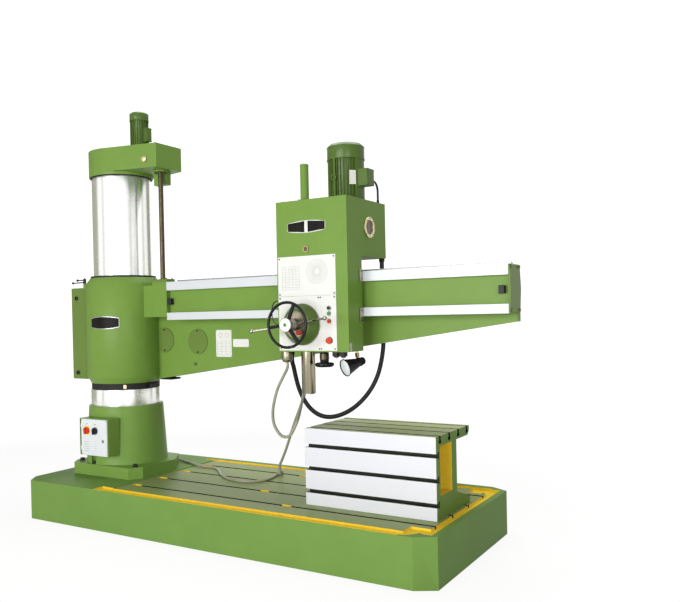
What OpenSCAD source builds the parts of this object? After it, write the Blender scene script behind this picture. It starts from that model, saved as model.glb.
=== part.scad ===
// Large radial arm drill: cast base with T-slots, pedestal, turning column, lifting arm,
// sliding drill head and a box table. Millimetres, Z up.
// The origin is on the column's axis at floor level. X runs along the base and the arm.

/* [Base] */
// Column axis to the left end of the base
base_left = 660; // [600:10:800]
// Column axis to the right end of the base
base_right = 4440; // [4200:10:4700]
// Width of the base
base_w = 2000; // [1900:10:2200]
// Height of the base's rim
base_h = 440; // [400:5:500]
// Length of the corner cuts at the right end
corner_x = 180; // [100:5:200]
// Width of the corner cuts at the right end
corner_y = 104; // [80:2:130]
// Length of the corner cuts at the left end
left_corner_x = 130; // [100:5:200]
// Width of the corner cuts at the left end
left_corner_y = 170; // [100:5:200]
// Thickness of the base's top deck
deck_t = 130; // [110:5:160]
// Thickness of the base's outer walls and ribs
rib_t = 40; // [30:2:60]
// Cells under the deck, along the base
cells_x = 10; // [10:1:12]
// Cells under the deck, across the base
cells_y = 4; // [4:1:5]
// How far the machined surface lies below the rim
surface_drop = 8; // [4:1:15]
// Start of the machined surface from the column axis
surface_x = 640; // [620:5:700]
// Width of the coolant gutter along the front
front_gutter_w = 130; // [110:1:150]
// Width of the coolant gutter along the back
back_gutter_w = 60; // [50:1:80]
// Width of the coolant gutter across the right end
end_gutter_w = 85; // [70:1:100]
// Depth of the coolant gutter below the rim
gutter_d = 30; // [25:1:36]
// Width of the rim in front of the gutter
rim_w = 25; // [20:1:40]
// Width of the rim behind the gutter
back_rim_w = 90; // [70:1:110]
// Width of the rim at the right end
end_rim_w = 60; // [50:1:80]
// Length of the foundation pockets in the gutter's corners
pocket_l = 274; // [240:2:300]
// Width of the foundation pockets in the gutter's corners
pocket_w = 190; // [160:2:200]
// Radius of the foundation bolt holes
foundation_r = 22; // [18:1:30]
// Length between the foundation bolts
foundation_x = 4680; // [4600:10:4720]
// Width between the foundation bolts
foundation_y = 1570; // [1540:10:1600]
// Column axis to the left foundation bolts
foundation_left = 450; // [440:5:480]

/* [T-slots] */
// Width of a T-slot's neck
slot_neck = 36; // [28:1:40]
// Width of a T-slot's head
slot_head = 60; // [54:1:66]
// Height of a T-slot's head
slot_head_h = 26; // [20:1:30]
// Depth of a T-slot's neck
slot_neck_h = 40; // [30:1:44]
// Distance between the base's T-slots
base_slot_step = 400; // [380:5:420]
// Start of the base's T-slots from the column axis
base_slot_x = 810; // [790:5:850]

/* [Pedestal] */
// Column axis to the left end of the pedestal's flange
flange_left = 490; // [485:5:520]
// Column axis to the right end of the pedestal's flange
flange_right = 604; // [580:2:620]
// Half width of the pedestal's flange
flange_y = 490; // [485:1:520]
// Length of the flange's corner cuts
flange_cut_x = 100; // [80:5:120]
// Width of the flange's corner cuts
flange_cut_y = 135; // [110:5:160]
// Length of the cut at the flange's right rear corner
rear_cut_x = 224; // [180:4:240]
// Width of the cut at the flange's right rear corner
rear_cut_y = 310; // [260:5:330]
// Thickness of the flange
flange_t = 130; // [100:5:150]
// Radius of the pedestal above the flange
cone_bottom_r = 480; // [470:1:484]
// Radius of the pedestal's top
cone_top_r = 440; // [430:1:450]
// Height of the pedestal above the flange
cone_h = 668; // [640:4:740]
// Wall of the pedestal
cone_wall = 45; // [35:1:60]
// Across flats of the pedestal's bolts
bolt_flats = 46; // [36:1:55]

/* [Electric box] */
// Width of the electric box
cabinet_w = 470; // [430:5:500]
// Height of the electric box
cabinet_h = 430; // [400:5:460]
// Column axis to the front of the electric box
cabinet_front = 575; // [560:1:590]
// Column axis to the middle of the box along the base
cabinet_x = 40; // [30:2:60]
// Height of the box above the flange
cabinet_lift = 120; // [100:5:150]
// Wall of the electric box
cabinet_wall = 8; // [5:1:12]
// Left side of the box to the door
door_inset = 40; // [30:1:60]
// Border of the box above, below and right of the door
door_border = 6; // [4:1:12]
// Thickness of the door
door_t = 12; // [8:1:16]

/* [Column] */
// Radius of the outer column
column_r = 350; // [340:1:360]
// Wall of the outer column
column_wall = 30; // [22:1:36]
// Radius of the skirt at the column's foot
skirt_r = 412; // [400:1:425]
// Height of the skirt
skirt_h = 199; // [160:1:230]
// Height of the dark seal between the skirt and the arm's sleeve
seal_h = 74; // [60:1:90]
// Radius of the fixed inner column
inner_r = 296; // [280:1:300]
// Wall of the fixed inner column
inner_wall = 45; // [30:1:60]
// Sleeve's top to the underside of the cap, with the arm at its lowest
column_open = 1208; // [1200:1:1300]

/* [Cap] */
// Radius of the cap round the column
cap_r = 378; // [370:1:395]
// Height of the cap's collar
cap_h = 307; // [300:1:330]
// How far the collar hangs below the cap's box
collar_drop = 32; // [25:1:40]
// Column axis to the end of the cap's box
cap_x = 784; // [765:1:820]
// Half width of the cap's box
cap_y = 211; // [200:1:230]
// Wall of the cap's box
cap_wall = 25; // [18:1:28]
// Radius of the lift motor
lift_motor_r = 112; // [100:1:125]
// Height of the lift motor
lift_motor_h = 445; // [420:5:480]

/* [Lift screw] */
// Column axis to the lift screw
screw_x = 647; // [645:1:655]
// Radius of the lift screw
screw_r = 28; // [25:1:32]
// Module of the lift gears
lift_module = 5; // [5:1:5]
// Teeth of the gear on the lift screw
lift_gear_teeth = 40; // [38:2:40]
// Teeth of the lift gear between
lift_idler_teeth = 34; // [32:2:36]
// Teeth of the lift motor's pinion
lift_pinion_teeth = 22; // [20:2:24]

/* [Arm] */
// Radius of the arm's sleeve
sleeve_r = 452; // [445:1:465]
// Height of the arm's sleeve
sleeve_h = 1254; // [1230:2:1290]
// How far the sleeve draws in at its top
sleeve_top_in = 60; // [50:1:70]
// How far the sleeve draws in at its foot
sleeve_foot_in = 45; // [35:1:55]
// Height of the drawn-in ends of the sleeve
sleeve_chamfer = 85; // [60:1:100]
// Column axis to the far end of the arm
arm_x = 4814; // [4700:2:4900]
// Column axis to the front of the guide rails
rail_front = 110; // [100:1:120]
// Column axis to the back of the arm at the sleeve
arm_back = 340; // [330:2:350]
// Column axis to the back of the arm at its far end
tip_back = 196; // [185:1:220]
// Column axis to where the arm's back starts to draw in
taper_x = 700; // [650:10:800]
// Column axis to the front of the lower web
web_front = 130; // [110:1:150]
// Height of the upper guide rail
upper_rail_h = 99; // [80:1:110]
// Height of the lower guide rail
lower_rail_h = 85; // [70:1:95]
// Height between the two guide rails
rail_span = 256; // [240:1:270]
// Sleeve's foot to the lower guide rail
rail_lift = 736; // [720:1:750]
// Thickness of the guide rails
rail_t = 36; // [24:1:40]
// Depth of the trough between the guide rails
trough_d = 62; // [56:1:70]
// Start of the guide rails from the column axis
rail_x = 800; // [790:2:830]
// Sleeve's foot to the arm's lower edge at the sleeve
root_lift = 30; // [20:1:60]
// Height of the arm's web below the rail at its far end
tip_drop = 76; // [60:1:90]
// Wall of the hollow arm
arm_wall = 40; // [30:1:50]
// Thickness of the plate that closes the arm's end
end_plate_t = 24; // [18:1:32]
// Column axis to the front of the clamp housing
clamp_front = 260; // [240:2:280]
// Width of the clamp housing beside the sleeve
clamp_w = 320; // [300:2:340]
// Column axis to the end of the clamp housing
clamp_x = 640; // [600:5:680]

/* [Drill head] */
// Column axis to the spindle, with the head where it is shown
spindle_x = 2814; // [2780:2:2860]
// Rail front to the spindle's axis
spindle_out = 140; // [136:1:146]
// Spindle's axis to the left side of the head
head_left = 255; // [245:1:270]
// Spindle's axis to the right side of the head
head_right = 552; // [540:1:570]
// Rail front to the front of the head
head_depth = 283; // [278:1:290]
// Height of the head
head_h = 1487; // [1460:1:1510]
// Lower guide rail's foot to the underside of the head
head_drop = 337; // [325:1:350]
// Arm's top to the upper part that reaches over it
upper_gap = 149; // [140:1:160]
// Rail front to the back of the upper part
upper_back = 529; // [520:1:540]
// Wall of the head
head_wall = 30; // [24:1:32]
// Thickness of the white panels
panel_t = 6; // [4:1:8]
// Height of the lower panel
control_panel_h = 536; // [520:2:550]
// Height of the upper panel
speed_panel_h = 390; // [370:2:400]
// Width of the panels
panel_w = 664; // [640:2:680]
// Radius of the main motor over its fins
motor_r = 190; // [170:1:200]
// Height of the main motor
motor_h = 585; // [560:1:620]
// Height of the main motor's fan cowl
cowl_h = 160; // [140:2:180]
// Cooling fins round the main motor
fin_count = 36; // [30:2:40]
// Height of the spindle guard tube
guard_h = 358; // [354:1:380]
// Radius of the spindle guard tube
guard_r = 43; // [41:1:48]

/* [Quill and spindle] */
// Radius of the quill
quill_r = 70; // [69:0.5:72]
// Length of the quill
quill_l = 1020; // [1010:2:1040]
// How far the quill stands out of the head as shown
quill_out = 420; // [400:2:440]
// Radius of the spindle in its bearings
spindle_r = 38; // [37:0.5:40]
// Radius of the spindle's driven end
drive_r = 30; // [28:0.5:32]
// Mouth radius of the spindle's taper socket
taper_r = 31.5; // [28:0.1:32]
// Depth of the spindle's taper socket
taper_l = 190; // [150:2:210]
// Module of the main drive gears
drive_module = 5; // [5:1:5]
// Teeth of the gear round the spindle
spindle_teeth = 40; // [36:2:40]
// Teeth of the drive gear between
idler_teeth = 56; // [52:2:58]
// Teeth of the main motor's pinion
pinion_teeth = 24; // [20:2:24]
// Width of the main drive gears
drive_gear_w = 50; // [40:1:55]

/* [Feed] */
// Module of the quill's rack and its pinion
rack_module = 6; // [6:1:6]
// Teeth of the quill's pinion
rack_teeth = 15; // [15:1:15]
// Module of the feed gears
feed_module = 4; // [4:1:4]
// Teeth of the feed shaft's gear
feed_teeth = 17; // [17:1:18]
// Teeth of the gear on the counter shaft
counter_teeth = 18; // [18:1:19]
// Underside of the head to the feed shaft
feed_lift = 270; // [260:1:280]
// Radius of the round feed housing
feed_housing_r = 203; // [190:1:210]
// Depth of the round feed housing
feed_housing_d = 121; // [110:1:125]
// Radius of the feed housing's front
feed_front_r = 150; // [130:2:170]
// Depth of the straight part of the feed housing
feed_flat = 31; // [24:1:40]
// Radius of the handwheel to the middle of its rim
wheel_r = 214; // [200:1:225]
// Thickness of the handwheel's rim
rim_t = 28; // [24:1:34]
// Front of the head to the middle of the handwheel's rim
wheel_out = 277; // [270:1:290]
// Reach of a feed lever
lever_l = 440; // [420:5:460]
// Radius of a feed lever
lever_r = 10; // [8:0.5:12]
// Radius of the fine feed wheel
fine_r = 92; // [80:1:100]

/* [Table] */
// Column axis to the near end of the table
table_x = 2889; // [2860:1:2920]
// Length of the table
table_l = 1367; // [1300:1:1400]
// Column axis to the front of the table
table_front = 462; // [440:2:480]
// Depth of the table's top
table_w = 815; // [780:5:850]
// Height of the table's top above the floor
table_top = 1174; // [1150:2:1176]
// Thickness of the table's front wall
table_wall = 87; // [84:1:110]
// Thickness of the table's top plate
table_plate = 90; // [85:1:100]
// Height of the foot where it meets the rear web
table_fillet = 168; // [140:2:190]
// Height of the floor inside the table above its foot
table_floor = 210; // [190:2:230]
// Thickness of the table's foot
table_foot = 60; // [50:1:70]
// Thickness of the table's rear web
table_web = 120; // [100:2:130]
// Table's front to its rear web
table_web_y = 362; // [340:2:380]
// Distance between the slots in the table's top
top_slot_step = 220; // [205:1:230]
// Distance between the slots in the table's front
front_slot_step = 219; // [200:1:225]
// Table's top to the upper slot in its front
front_slot_drop = 166; // [160:1:180]

/* [Controls] */
// Radius of a push button
button_r = 15; // [12:0.5:18]
// Radius of the stop button
stop_r = 29; // [24:0.5:34]
// Travel of a push button
button_travel = 5; // [4:0.5:6]
// Radius of the lamp's mouth
lamp_r = 85; // [75:1:90]
// Length of the lamp
lamp_l = 230; // [210:5:250]
// Radius of the lamp's stem
stem_r = 13; // [10:0.5:16]

/* [Hoses] */
// Diameter of the black power hose
power_d = 46; // [40:1:50]
// Diameter of the grey coolant hose
coolant_d = 26; // [22:1:30]
// Diameter of the main motor's cable
cable_d = 22; // [18:1:26]

/* [Fits] */
// Gap between curved faces that slide or turn past each other
fit_gap = 0.3; // [0.2:0.05:0.5]
// Radial clearance of a running shaft
run_gap = 0.05; // [0.02:0.01:0.1]
// Play between gear teeth at the pitch line
backlash = 0.6; // [0.5:0.1:1]

/* [Hidden] */
$fn = 64;

green = [0.40, 0.56, 0.22];
steel = [0.80, 0.81, 0.80];
black = [0.08, 0.08, 0.08];
white = [0.92, 0.93, 0.92];
machined = [0.52, 0.56, 0.46];
bronze = [0.72, 0.55, 0.25];
grey_hose = [0.60, 0.61, 0.52];
over = 1;
pressure_angle = 25;

// Heights, stacked from the floor
surface_z = base_h - surface_drop;
flange_z = base_h + flange_t;
cone_z = flange_z + cone_h;
skirt_z = cone_z + skirt_h;
sleeve_z = skirt_z + seal_h;
sleeve_top = sleeve_z + sleeve_h;
collar_z = sleeve_top + column_open;
cap_box_z = collar_z + collar_drop;
cap_top = collar_z + cap_h;
column_seat = cap_box_z + cap_wall / 2;
lower_rail_z = sleeve_z + rail_lift;
upper_rail_z = lower_rail_z + lower_rail_h + rail_span;
arm_top = upper_rail_z + upper_rail_h;
head_z = lower_rail_z - head_drop;
head_top = head_z + head_h;
upper_z = arm_top + upper_gap;

// Places along and across the machine
spindle_y = -rail_front - spindle_out;
head_front = -rail_front - head_depth;
head_x0 = spindle_x - head_left;
head_x1 = spindle_x + head_right;
head_rear = -rail_front - fit_gap;
feed_z = head_z + feed_lift;
rack_pitch_x = spindle_x + quill_r - rack_module - 3;
counter_x = rack_pitch_x + pitch_r(rack_teeth, rack_module);
feed_x = counter_x - pitch_r(feed_teeth, feed_module) - pitch_r(counter_teeth, feed_module);

// Main drive: spindle gear, idler and motor pinion in one line towards the back
drive_turn = 48.6;
idler_reach = pitch_r(spindle_teeth, drive_module) + pitch_r(idler_teeth, drive_module);
motor_reach = idler_reach + pitch_r(idler_teeth, drive_module) + pitch_r(pinion_teeth, drive_module);
idler_at = [spindle_x, spindle_y] + idler_reach * [cos(drive_turn), sin(drive_turn)];
motor_at = [spindle_x, spindle_y] + motor_reach * [cos(drive_turn), sin(drive_turn)];
drive_gear_z = upper_z + 0.4884 * (head_top - upper_z);
gear_hub_r = drive_r + 32;

// Lift drive: screw gear, idler and motor pinion in a line towards the column
lift_idler_x = screw_x - pitch_r(lift_gear_teeth, lift_module) - pitch_r(lift_idler_teeth, lift_module);
lift_motor_x = lift_idler_x - pitch_r(lift_idler_teeth, lift_module)
  - pitch_r(lift_pinion_teeth, lift_module);
lift_gear_z = cap_box_z + cap_wall + 77;
lift_gear_w = 40;
axle_r = 20;
motor_shaft_r = 24;

// Openings and seats that two pieces share
quill_top = head_z - quill_out + quill_l;
quill_foot = head_z - quill_out;
guide_l = 190;
guide_r = quill_r + 28;
bearing_l = 120;
feed_shaft_r = 24;
wheel_shaft_r = 14;
counter_r = 18;
nut_r = 45;
nut_l = 90;
nut_plate = [230, 145, 37];
nut_front = -95;
bracket_y = nut_front + nut_plate[1] + 10;
trough_back = -rail_front + trough_d;
traverse_teeth = 16;
rack_backing = 12;
traverse_rack_y = [55, 105];
traverse_rack_z = arm_top + rack_backing + 1.25 * rack_module;
traverse_z = traverse_rack_z + pitch_r(traverse_teeth, rack_module);
traverse_x = spindle_x + 36;

// Cord routes, from hand: each list runs from one fitting to the other
power_route = [
  [3332, 390, 2800], [3332, 390, 2700], [3333, 390, 2560], [3334, 390, 2400], [3334, 390, 2240],
  [3332, 390, 2080], [3328, 391, 1920], [3305, 384, 1770], [3270, 370, 1635], [3220, 335, 1510],
  [3150, 280, 1395], [3065, 205, 1300], [2975, 120, 1240], [2885, 40, 1218], [2795, -15, 1238],
  [2712, -52, 1300], [2648, -82, 1395], [2610, -115, 1510], [2596, -150, 1630], [2594, -185, 1740],
  [2600, -220, 1805], [2600, -220, 1870]
];
loop_route = [
  [2620, -340, 1804], [2620, -340, 1745], [2568, -346, 1650], [2513, -360, 1540], [2488, -385, 1425],
  [2491, -425, 1310], [2540, -480, 1200], [2603, -496, 1118], [2665, -502, 1082], [2735, -500, 1092],
  [2778, -494, 1150], [2806, -460, 1240], [2710, -250, 1330], [2668, -150, 1410], [2665, -112, 1495],
  [2683, -122, 1600], [2688, -134, 1720], [2688, -140, 1810], [2688, -140, 1870]
];
upper_route = [
  [2780, -140, 1870], [2780, -140, 1810], [2758, -135, 1730], [2715, -80, 1640], [2645, 10, 1560],
  [2550, 125, 1500], [2445, 270, 1450], [2345, 390, 1385], [2262, 462, 1300], [2195, 502, 1200],
  [2132, 516, 1080], [2080, 520, 960], [2034, 520, 840], [1985, 520, 720], [1930, 520, 605],
  [1900, 520, 545], [1900, 520, 500]
];
lower_route = [
  [236, 592, 466], [290, 592, 466], [410, 570, 458], [560, 525, 456], [680, 480, 455], [820, 462, 447],
  [940, 465, 446], [1050, 420, 446], [1160, 330, 446], [1290, 205, 446], [1440, 95, 446],
  [1590, 35, 446], [1735, 20, 446], [1850, 55, 446], [1920, 140, 446], [1940, 250, 446],
  [1925, 360, 446], [1900, 440, 446], [1900, 490, 446]
];
cable_steps = [
  [255, 96, 203], [255, 125, 203], [254, 160, 189], [252, 188, 163], [249, 206, 128], [245, 215, 83],
  [245, 215, 28]
];
cable_route = [for (p = cable_steps) p + [motor_at[0], motor_at[1], head_top]];
coupling_at = upper_route[len(upper_route) - 1];

// Shapes that several pieces use

function pitch_r(teeth, m) = teeth * m / 2;

// Angle that an involute has turned through at radius r, from its base circle
function involute_turn(r, base_r) =
  let (a = acos(min(1, base_r / r))) tan(a) * 180 / PI - a;

// Half the angle of a tooth at radius r
function tooth_half(r, teeth, m) =
  let (p = pitch_r(teeth, m), base_r = p * cos(pressure_angle))
    90 / teeth - backlash / p * 45 / PI
    + involute_turn(p, base_r) - involute_turn(max(r, base_r), base_r);

function gear_outline(teeth, m) =
  let (p = pitch_r(teeth, m), radii = [p - 1.25 * m, p - 0.5 * m, p, p + 0.9 * m])
    [for (i = [0:teeth - 1], side = [-1, 1], k = [0:3])
      let (r = radii[side < 0 ? k : 3 - k], a = 360 * i / teeth + side * tooth_half(r, teeth, m))
        r * [cos(a), sin(a)]];

module gear(teeth, m, w) {
  linear_extrude(w) polygon(gear_outline(teeth, m));
}

// A rack along X with its teeth towards +Y, a gap at X = 0 and its pitch line on the X axis
module rack_profile(count, m, backing) {
  step = PI * m;
  half = step / 4 - backlash / 2;
  lean = tan(pressure_angle);
  first = -floor(count / 2);
  low = -1.25 * m;
  high = 0.9 * m;
  teeth = [for (i = [0:count - 1], c = [-half + low * lean, -half + high * lean, half - high * lean,
    half - low * lean]) [(first + i + 0.5) * step + c, abs(c) < half ? high : low]];
  left = teeth[0][0];
  right = teeth[len(teeth) - 1][0];
  polygon(concat(teeth, [[right, low - backing], [left, low - backing]]));
}

// A block between two corners
module block(low, high) {
  translate(low) cube(high - low);
}

// Round bars along the three axes, from one end to the other
module bar_x(x0, x1, y, z, r) {
  translate([x0, y, z]) rotate([0, 90, 0]) cylinder(h = x1 - x0, r = r);
}

module bar_y(x, y0, y1, z, r) {
  translate([x, y1, z]) rotate([90, 0, 0]) cylinder(h = y1 - y0, r = r);
}

module bar_z(x, y, z0, z1, r) {
  translate([x, y, z0]) cylinder(h = z1 - z0, r = r);
}

module ring(z0, z1, inner, outer) {
  translate([0, 0, z0]) difference() {
    cylinder(h = z1 - z0, r = outer);
    translate([0, 0, -over]) cylinder(h = z1 - z0 + 2 * over, r = inner);
  }
}

module hex_bolt(flats, head_h) {
  cylinder(h = head_h, r = flats / sqrt(3), $fn = 6);
}

// A T-slot's section: the mouth on Y = 0, the slot going down
module slot_section() {
  total = slot_neck_h + slot_head_h;
  translate([-slot_neck / 2, -slot_neck_h - over]) square([slot_neck, slot_neck_h + 2 * over]);
  translate([-slot_head / 2, -total]) square([slot_head, slot_head_h]);
}

// An outline in X and Z, pushed from y0 to y1
module upright(y0, y1) {
  translate([0, y1, 0]) rotate([90, 0, 0]) linear_extrude(y1 - y0) children();
}

// An outline in Y and Z, pushed along X from x0 to x1
module lengthwise(x0, x1) {
  translate([x0, 0, 0]) rotate([90, 0, 90]) linear_extrude(x1 - x0) children();
}

module cut_rectangle(x0, x1, half_y, left_cut, right_cut) {
  polygon([
    [x0 + left_cut[0], -half_y], [x1 - right_cut[0], -half_y], [x1, -half_y + right_cut[1]],
    [x1, half_y - right_cut[1]], [x1 - right_cut[0], half_y], [x0 + left_cut[0], half_y],
    [x0, half_y - left_cut[1]], [x0, -half_y + left_cut[1]]
  ]);
}

// Cords: a round section swept along the route's points
function unit(v) = v / norm(v);

function cord_frames(p, i, normal) =
  let (n = len(p), along = unit(p[min(i + 1, n - 1)] - p[max(i - 1, 0)]),
    side = unit(normal - (normal * along) * along))
    i == n - 1 ? [[along, side]] : concat([[along, side]], cord_frames(p, i + 1, side));

module cord(route, d, sides = 10) {
  n = len(route);
  frames = cord_frames(route, 0, [0.31, 0.2, 0.93]);
  points = [for (i = [0:n - 1], k = [0:sides - 1])
    let (s = frames[i][1], t = cross(frames[i][0], s), a = 360 * k / sides)
      route[i] + d / 2 * (cos(a) * s + sin(a) * t)];
  walls = [for (i = [0:n - 2], k = [0:sides - 1])
    let (a = i * sides + k, b = i * sides + (k + 1) % sides, c = b + sides, e = a + sides)
      each [[a, c, b], [a, e, c]]];
  near_end = [for (k = [1:sides - 2]) [0, k, k + 1]];
  far = (n - 1) * sides;
  far_end = [for (k = [1:sides - 2]) [far, far + k + 1, far + k]];
  polyhedron(points, concat(walls, near_end, far_end));
}

// Base and what stands on it

foundation_holes = [for (x = [-foundation_left, foundation_x - foundation_left],
  y = [-foundation_y / 2, foundation_y / 2]) [x, y]];
slot_ys = [for (i = [-1.5:1:1.5]) i * base_slot_step];
front_gutter = [-base_w / 2 + rim_w, -base_w / 2 + rim_w + front_gutter_w];
back_gutter = [base_w / 2 - back_rim_w - back_gutter_w, base_w / 2 - back_rim_w];
gutter_end = base_right - end_rim_w;
slot_end = gutter_end - end_gutter_w;
pocket_out = back_gutter[1] - 30;
pad_r = 330;
insert_l = 110;
slot_inserts = [[2191, slot_ys[1]], [2737, slot_ys[0]], [2150, slot_ys[3]]];

module base_cells() {
  x0 = -base_left + left_corner_x;
  x1 = base_right - corner_x;
  y0 = -base_w / 2 + corner_y + rib_t;
  step_x = (x1 - x0) / cells_x;
  step_y = -2 * y0 / cells_y;
  for (i = [0:cells_x - 1], j = [0:cells_y - 1])
    block([x0 + i * step_x + rib_t / 2, y0 + j * step_y + rib_t / 2, -over],
      [x0 + (i + 1) * step_x - rib_t / 2, y0 + (j + 1) * step_y - rib_t / 2, base_h - deck_t]);
}

module gutter() {
  floor_z = base_h - gutter_d;
  start = surface_x - 2 * end_gutter_w + 15;
  link_x = gutter_end - pocket_l;
  block([start, front_gutter[0], floor_z], [link_x, front_gutter[1], base_h + over]);
  translate([0, 0, floor_z]) linear_extrude(gutter_d + over) polygon([
    [link_x - over, front_gutter[0]], [link_x + 60, front_gutter[0]], [link_x + 160, -pocket_out + over],
    [link_x + 20, -pocket_out + over], [link_x - over, front_gutter[1]]
  ]);
  block([start, back_gutter[0], floor_z], [gutter_end - corner_x / 2, back_gutter[1], base_h + over]);
  block([slot_end, -pocket_out, floor_z], [gutter_end, back_gutter[0] + over, base_h + over]);
  for (side = [0, 1]) mirror([0, side, 0])
    block([gutter_end - pocket_l, pocket_out - pocket_w, floor_z], [gutter_end, pocket_out, base_h + over]);
}

// A pocket where a T-bolt's head goes down into its slot
module slot_pocket(x, y) {
  block([x - insert_l / 2, y - slot_head / 2, surface_z - slot_neck_h - slot_head_h],
    [x + insert_l / 2, y + slot_head / 2, base_h]);
}

module base() {
  color(green) difference() {
    linear_extrude(base_h) cut_rectangle(-base_left, base_right, base_w / 2,
      [left_corner_x, left_corner_y], [corner_x, corner_y]);
    difference() {
      base_cells();
      bar_z(0, 0, 0, base_h, pad_r);
      for (p = foundation_holes) bar_z(p[0], p[1], 0, base_h, foundation_r * 3);
    }
    block([surface_x, front_gutter[1] - over, surface_z],
      [slot_end + over, back_gutter[0] + over, base_h + over]);
    gutter();
    for (y = slot_ys) {
      lengthwise(base_slot_x, slot_end + over) translate([y, surface_z]) slot_section();
      slot_pocket(base_slot_x - insert_l / 2 + over, y);
    }
    for (p = slot_inserts) slot_pocket(p[0], p[1]);
    for (p = foundation_holes) bar_z(p[0], p[1], -over, base_h + over, foundation_r);
  }
}

module flange_outline() {
  polygon([
    [-flange_left + flange_cut_x, -flange_y], [flange_right - flange_cut_x, -flange_y],
    [flange_right, -flange_y + flange_cut_y], [flange_right, flange_y - rear_cut_y],
    [flange_right - rear_cut_x, flange_y], [-flange_left + flange_cut_x, flange_y],
    [-flange_left, flange_y - flange_cut_y], [-flange_left, -flange_y + flange_cut_y]
  ]);
}

module pedestal() {
  color(green) difference() {
    union() {
      translate([0, 0, base_h]) linear_extrude(flange_t) flange_outline();
      translate([0, 0, flange_z]) cylinder(h = cone_h, r1 = cone_bottom_r, r2 = cone_top_r);
    }
    translate([0, 0, base_h - over])
      cylinder(h = flange_t + cone_h - cone_wall + over, r1 = cone_bottom_r - foot_wall,
        r2 = cone_top_r - cone_wall);
    for (p = pocket_bolts) bar_z(p[0], p[1], flange_z, flange_z + bolt_pocket_h, bolt_pocket_r);
    bar_z(0, 0, cone_z - cone_wall - over, cone_z + over, inner_r);
    block([cabinet_x - cabinet_w / 2, -cabinet_front, cabinet_z - over],
      [cabinet_x + cabinet_w / 2, -cabinet_back, cabinet_z + cabinet_h + over]);
  }
}

cabinet_z = flange_z + cabinet_lift;
cabinet_back = cone_top_r - cone_wall - 10;
cabinet_x0 = cabinet_x - cabinet_w / 2;
cabinet_x1 = cabinet_x + cabinet_w / 2;
foot_wall = 2.5 * cone_wall;
bolt_pocket_r = 50;
bolt_pocket_h = 90;
pocket_bolts = [[-70, -flange_y + 42], [-70, flange_y - 42]];
flange_bolts = concat(pocket_bolts, [
  [-flange_left + flange_cut_x, -flange_y + flange_cut_y - 10],
  [flange_right - flange_cut_x + 6, -flange_y + flange_cut_y - 25],
  [-flange_left + flange_cut_x, flange_y - flange_cut_y + 10]
]);

module pedestal_bolts() {
  color(black) for (p = flange_bolts)
    translate([p[0], p[1], flange_z]) {
      cylinder(h = 6, r = bolt_flats * 0.75);
      translate([0, 0, 6]) hex_bolt(bolt_flats, 28);
    }
}

module inner_column() {
  color(steel) difference() {
    union() {
      bar_z(0, 0, cone_z - cone_wall, column_seat - 40, inner_r - run_gap);
      bar_z(0, 0, cone_z - cone_wall - 40, cone_z - cone_wall, inner_r + 40);
    }
    bar_z(0, 0, cone_z - cone_wall - 40 - over, column_seat, inner_r - inner_wall);
  }
}

module electric_box() {
  color(green) difference() {
    block([cabinet_x0, -cabinet_front + door_t + fit_gap, cabinet_z], [cabinet_x1, -cabinet_back,
      cabinet_z + cabinet_h]);
    block([cabinet_x0 + cabinet_wall, -cabinet_front - over, cabinet_z + cabinet_wall],
      [cabinet_x1 - cabinet_wall, -cabinet_back - cabinet_wall, cabinet_z + cabinet_h - cabinet_wall]);
  }
}

door_x0 = cabinet_x0 + door_inset;
door_x1 = cabinet_x1 - door_border;
door_z0 = cabinet_z + door_border;
door_z1 = cabinet_z + cabinet_h - door_border;
hinge_x = door_x0 - 7;
hinge_y = -cabinet_front + door_t / 2;
switch_z = cabinet_z + cabinet_h * 0.68;
switch_xs = [door_x0 + 97, door_x0 + 233];
knob_d = 44;

module cabinet_door() {
  color(white) difference() {
    union() {
      block([door_x0, -cabinet_front, door_z0], [door_x1, -cabinet_front + door_t, door_z1]);
      for (z = [cabinet_z + 60, cabinet_z + cabinet_h - 110]) {
        block([hinge_x, -cabinet_front, z], [door_x0 + over, -cabinet_front + door_t, z + 50]);
        bar_z(hinge_x, hinge_y, z, z + 50, door_t / 2);
      }
    }
    for (x = switch_xs) bar_y(x, -cabinet_front - over, -cabinet_front + door_t + over, switch_z,
      axle_r / 2 + run_gap);
  }
}

// A rotary knob on the cabinet's door, with its spindle through the panel
module door_knob(x, r, d) {
  bar_y(x, -cabinet_front - d, -cabinet_front - fit_gap, switch_z, r);
  bar_y(x, -cabinet_front - fit_gap, -cabinet_front + door_t + 4, switch_z, axle_r / 2);
  bar_y(x, -cabinet_front + door_t + fit_gap, -cabinet_front + door_t + 4, switch_z, axle_r / 2 + 4);
}

module main_switch() {
  color("red") union() {
    door_knob(switch_xs[0], 40, 24);
    block([switch_xs[0] - 9, -cabinet_front - knob_d, switch_z - 38],
      [switch_xs[0] + 9, -cabinet_front - 24, switch_z + 38]);
  }
}

module selector_knob() {
  color(black) union() {
    door_knob(switch_xs[1], 38, 22);
    block([switch_xs[1] - 8, -cabinet_front - knob_d, switch_z - 36],
      [switch_xs[1] + 8, -cabinet_front - 22, switch_z + 36]);
  }
}

table_back = -table_front + table_w;
web_y0 = -table_front + table_web_y;
web_y1 = web_y0 + table_web;
foot_back = table_back - 10;
foot_z = surface_z + table_foot;
floor_z = surface_z + table_floor;
plate_z = table_top - table_plate;
edge_in = 40;
edge_h = 45;
table_bolt_r = slot_neck / 2 - 4;
table_bolt_xs = [table_x + 140, table_x + table_l - 140];
table_bolt_y = slot_ys[2];

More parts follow.
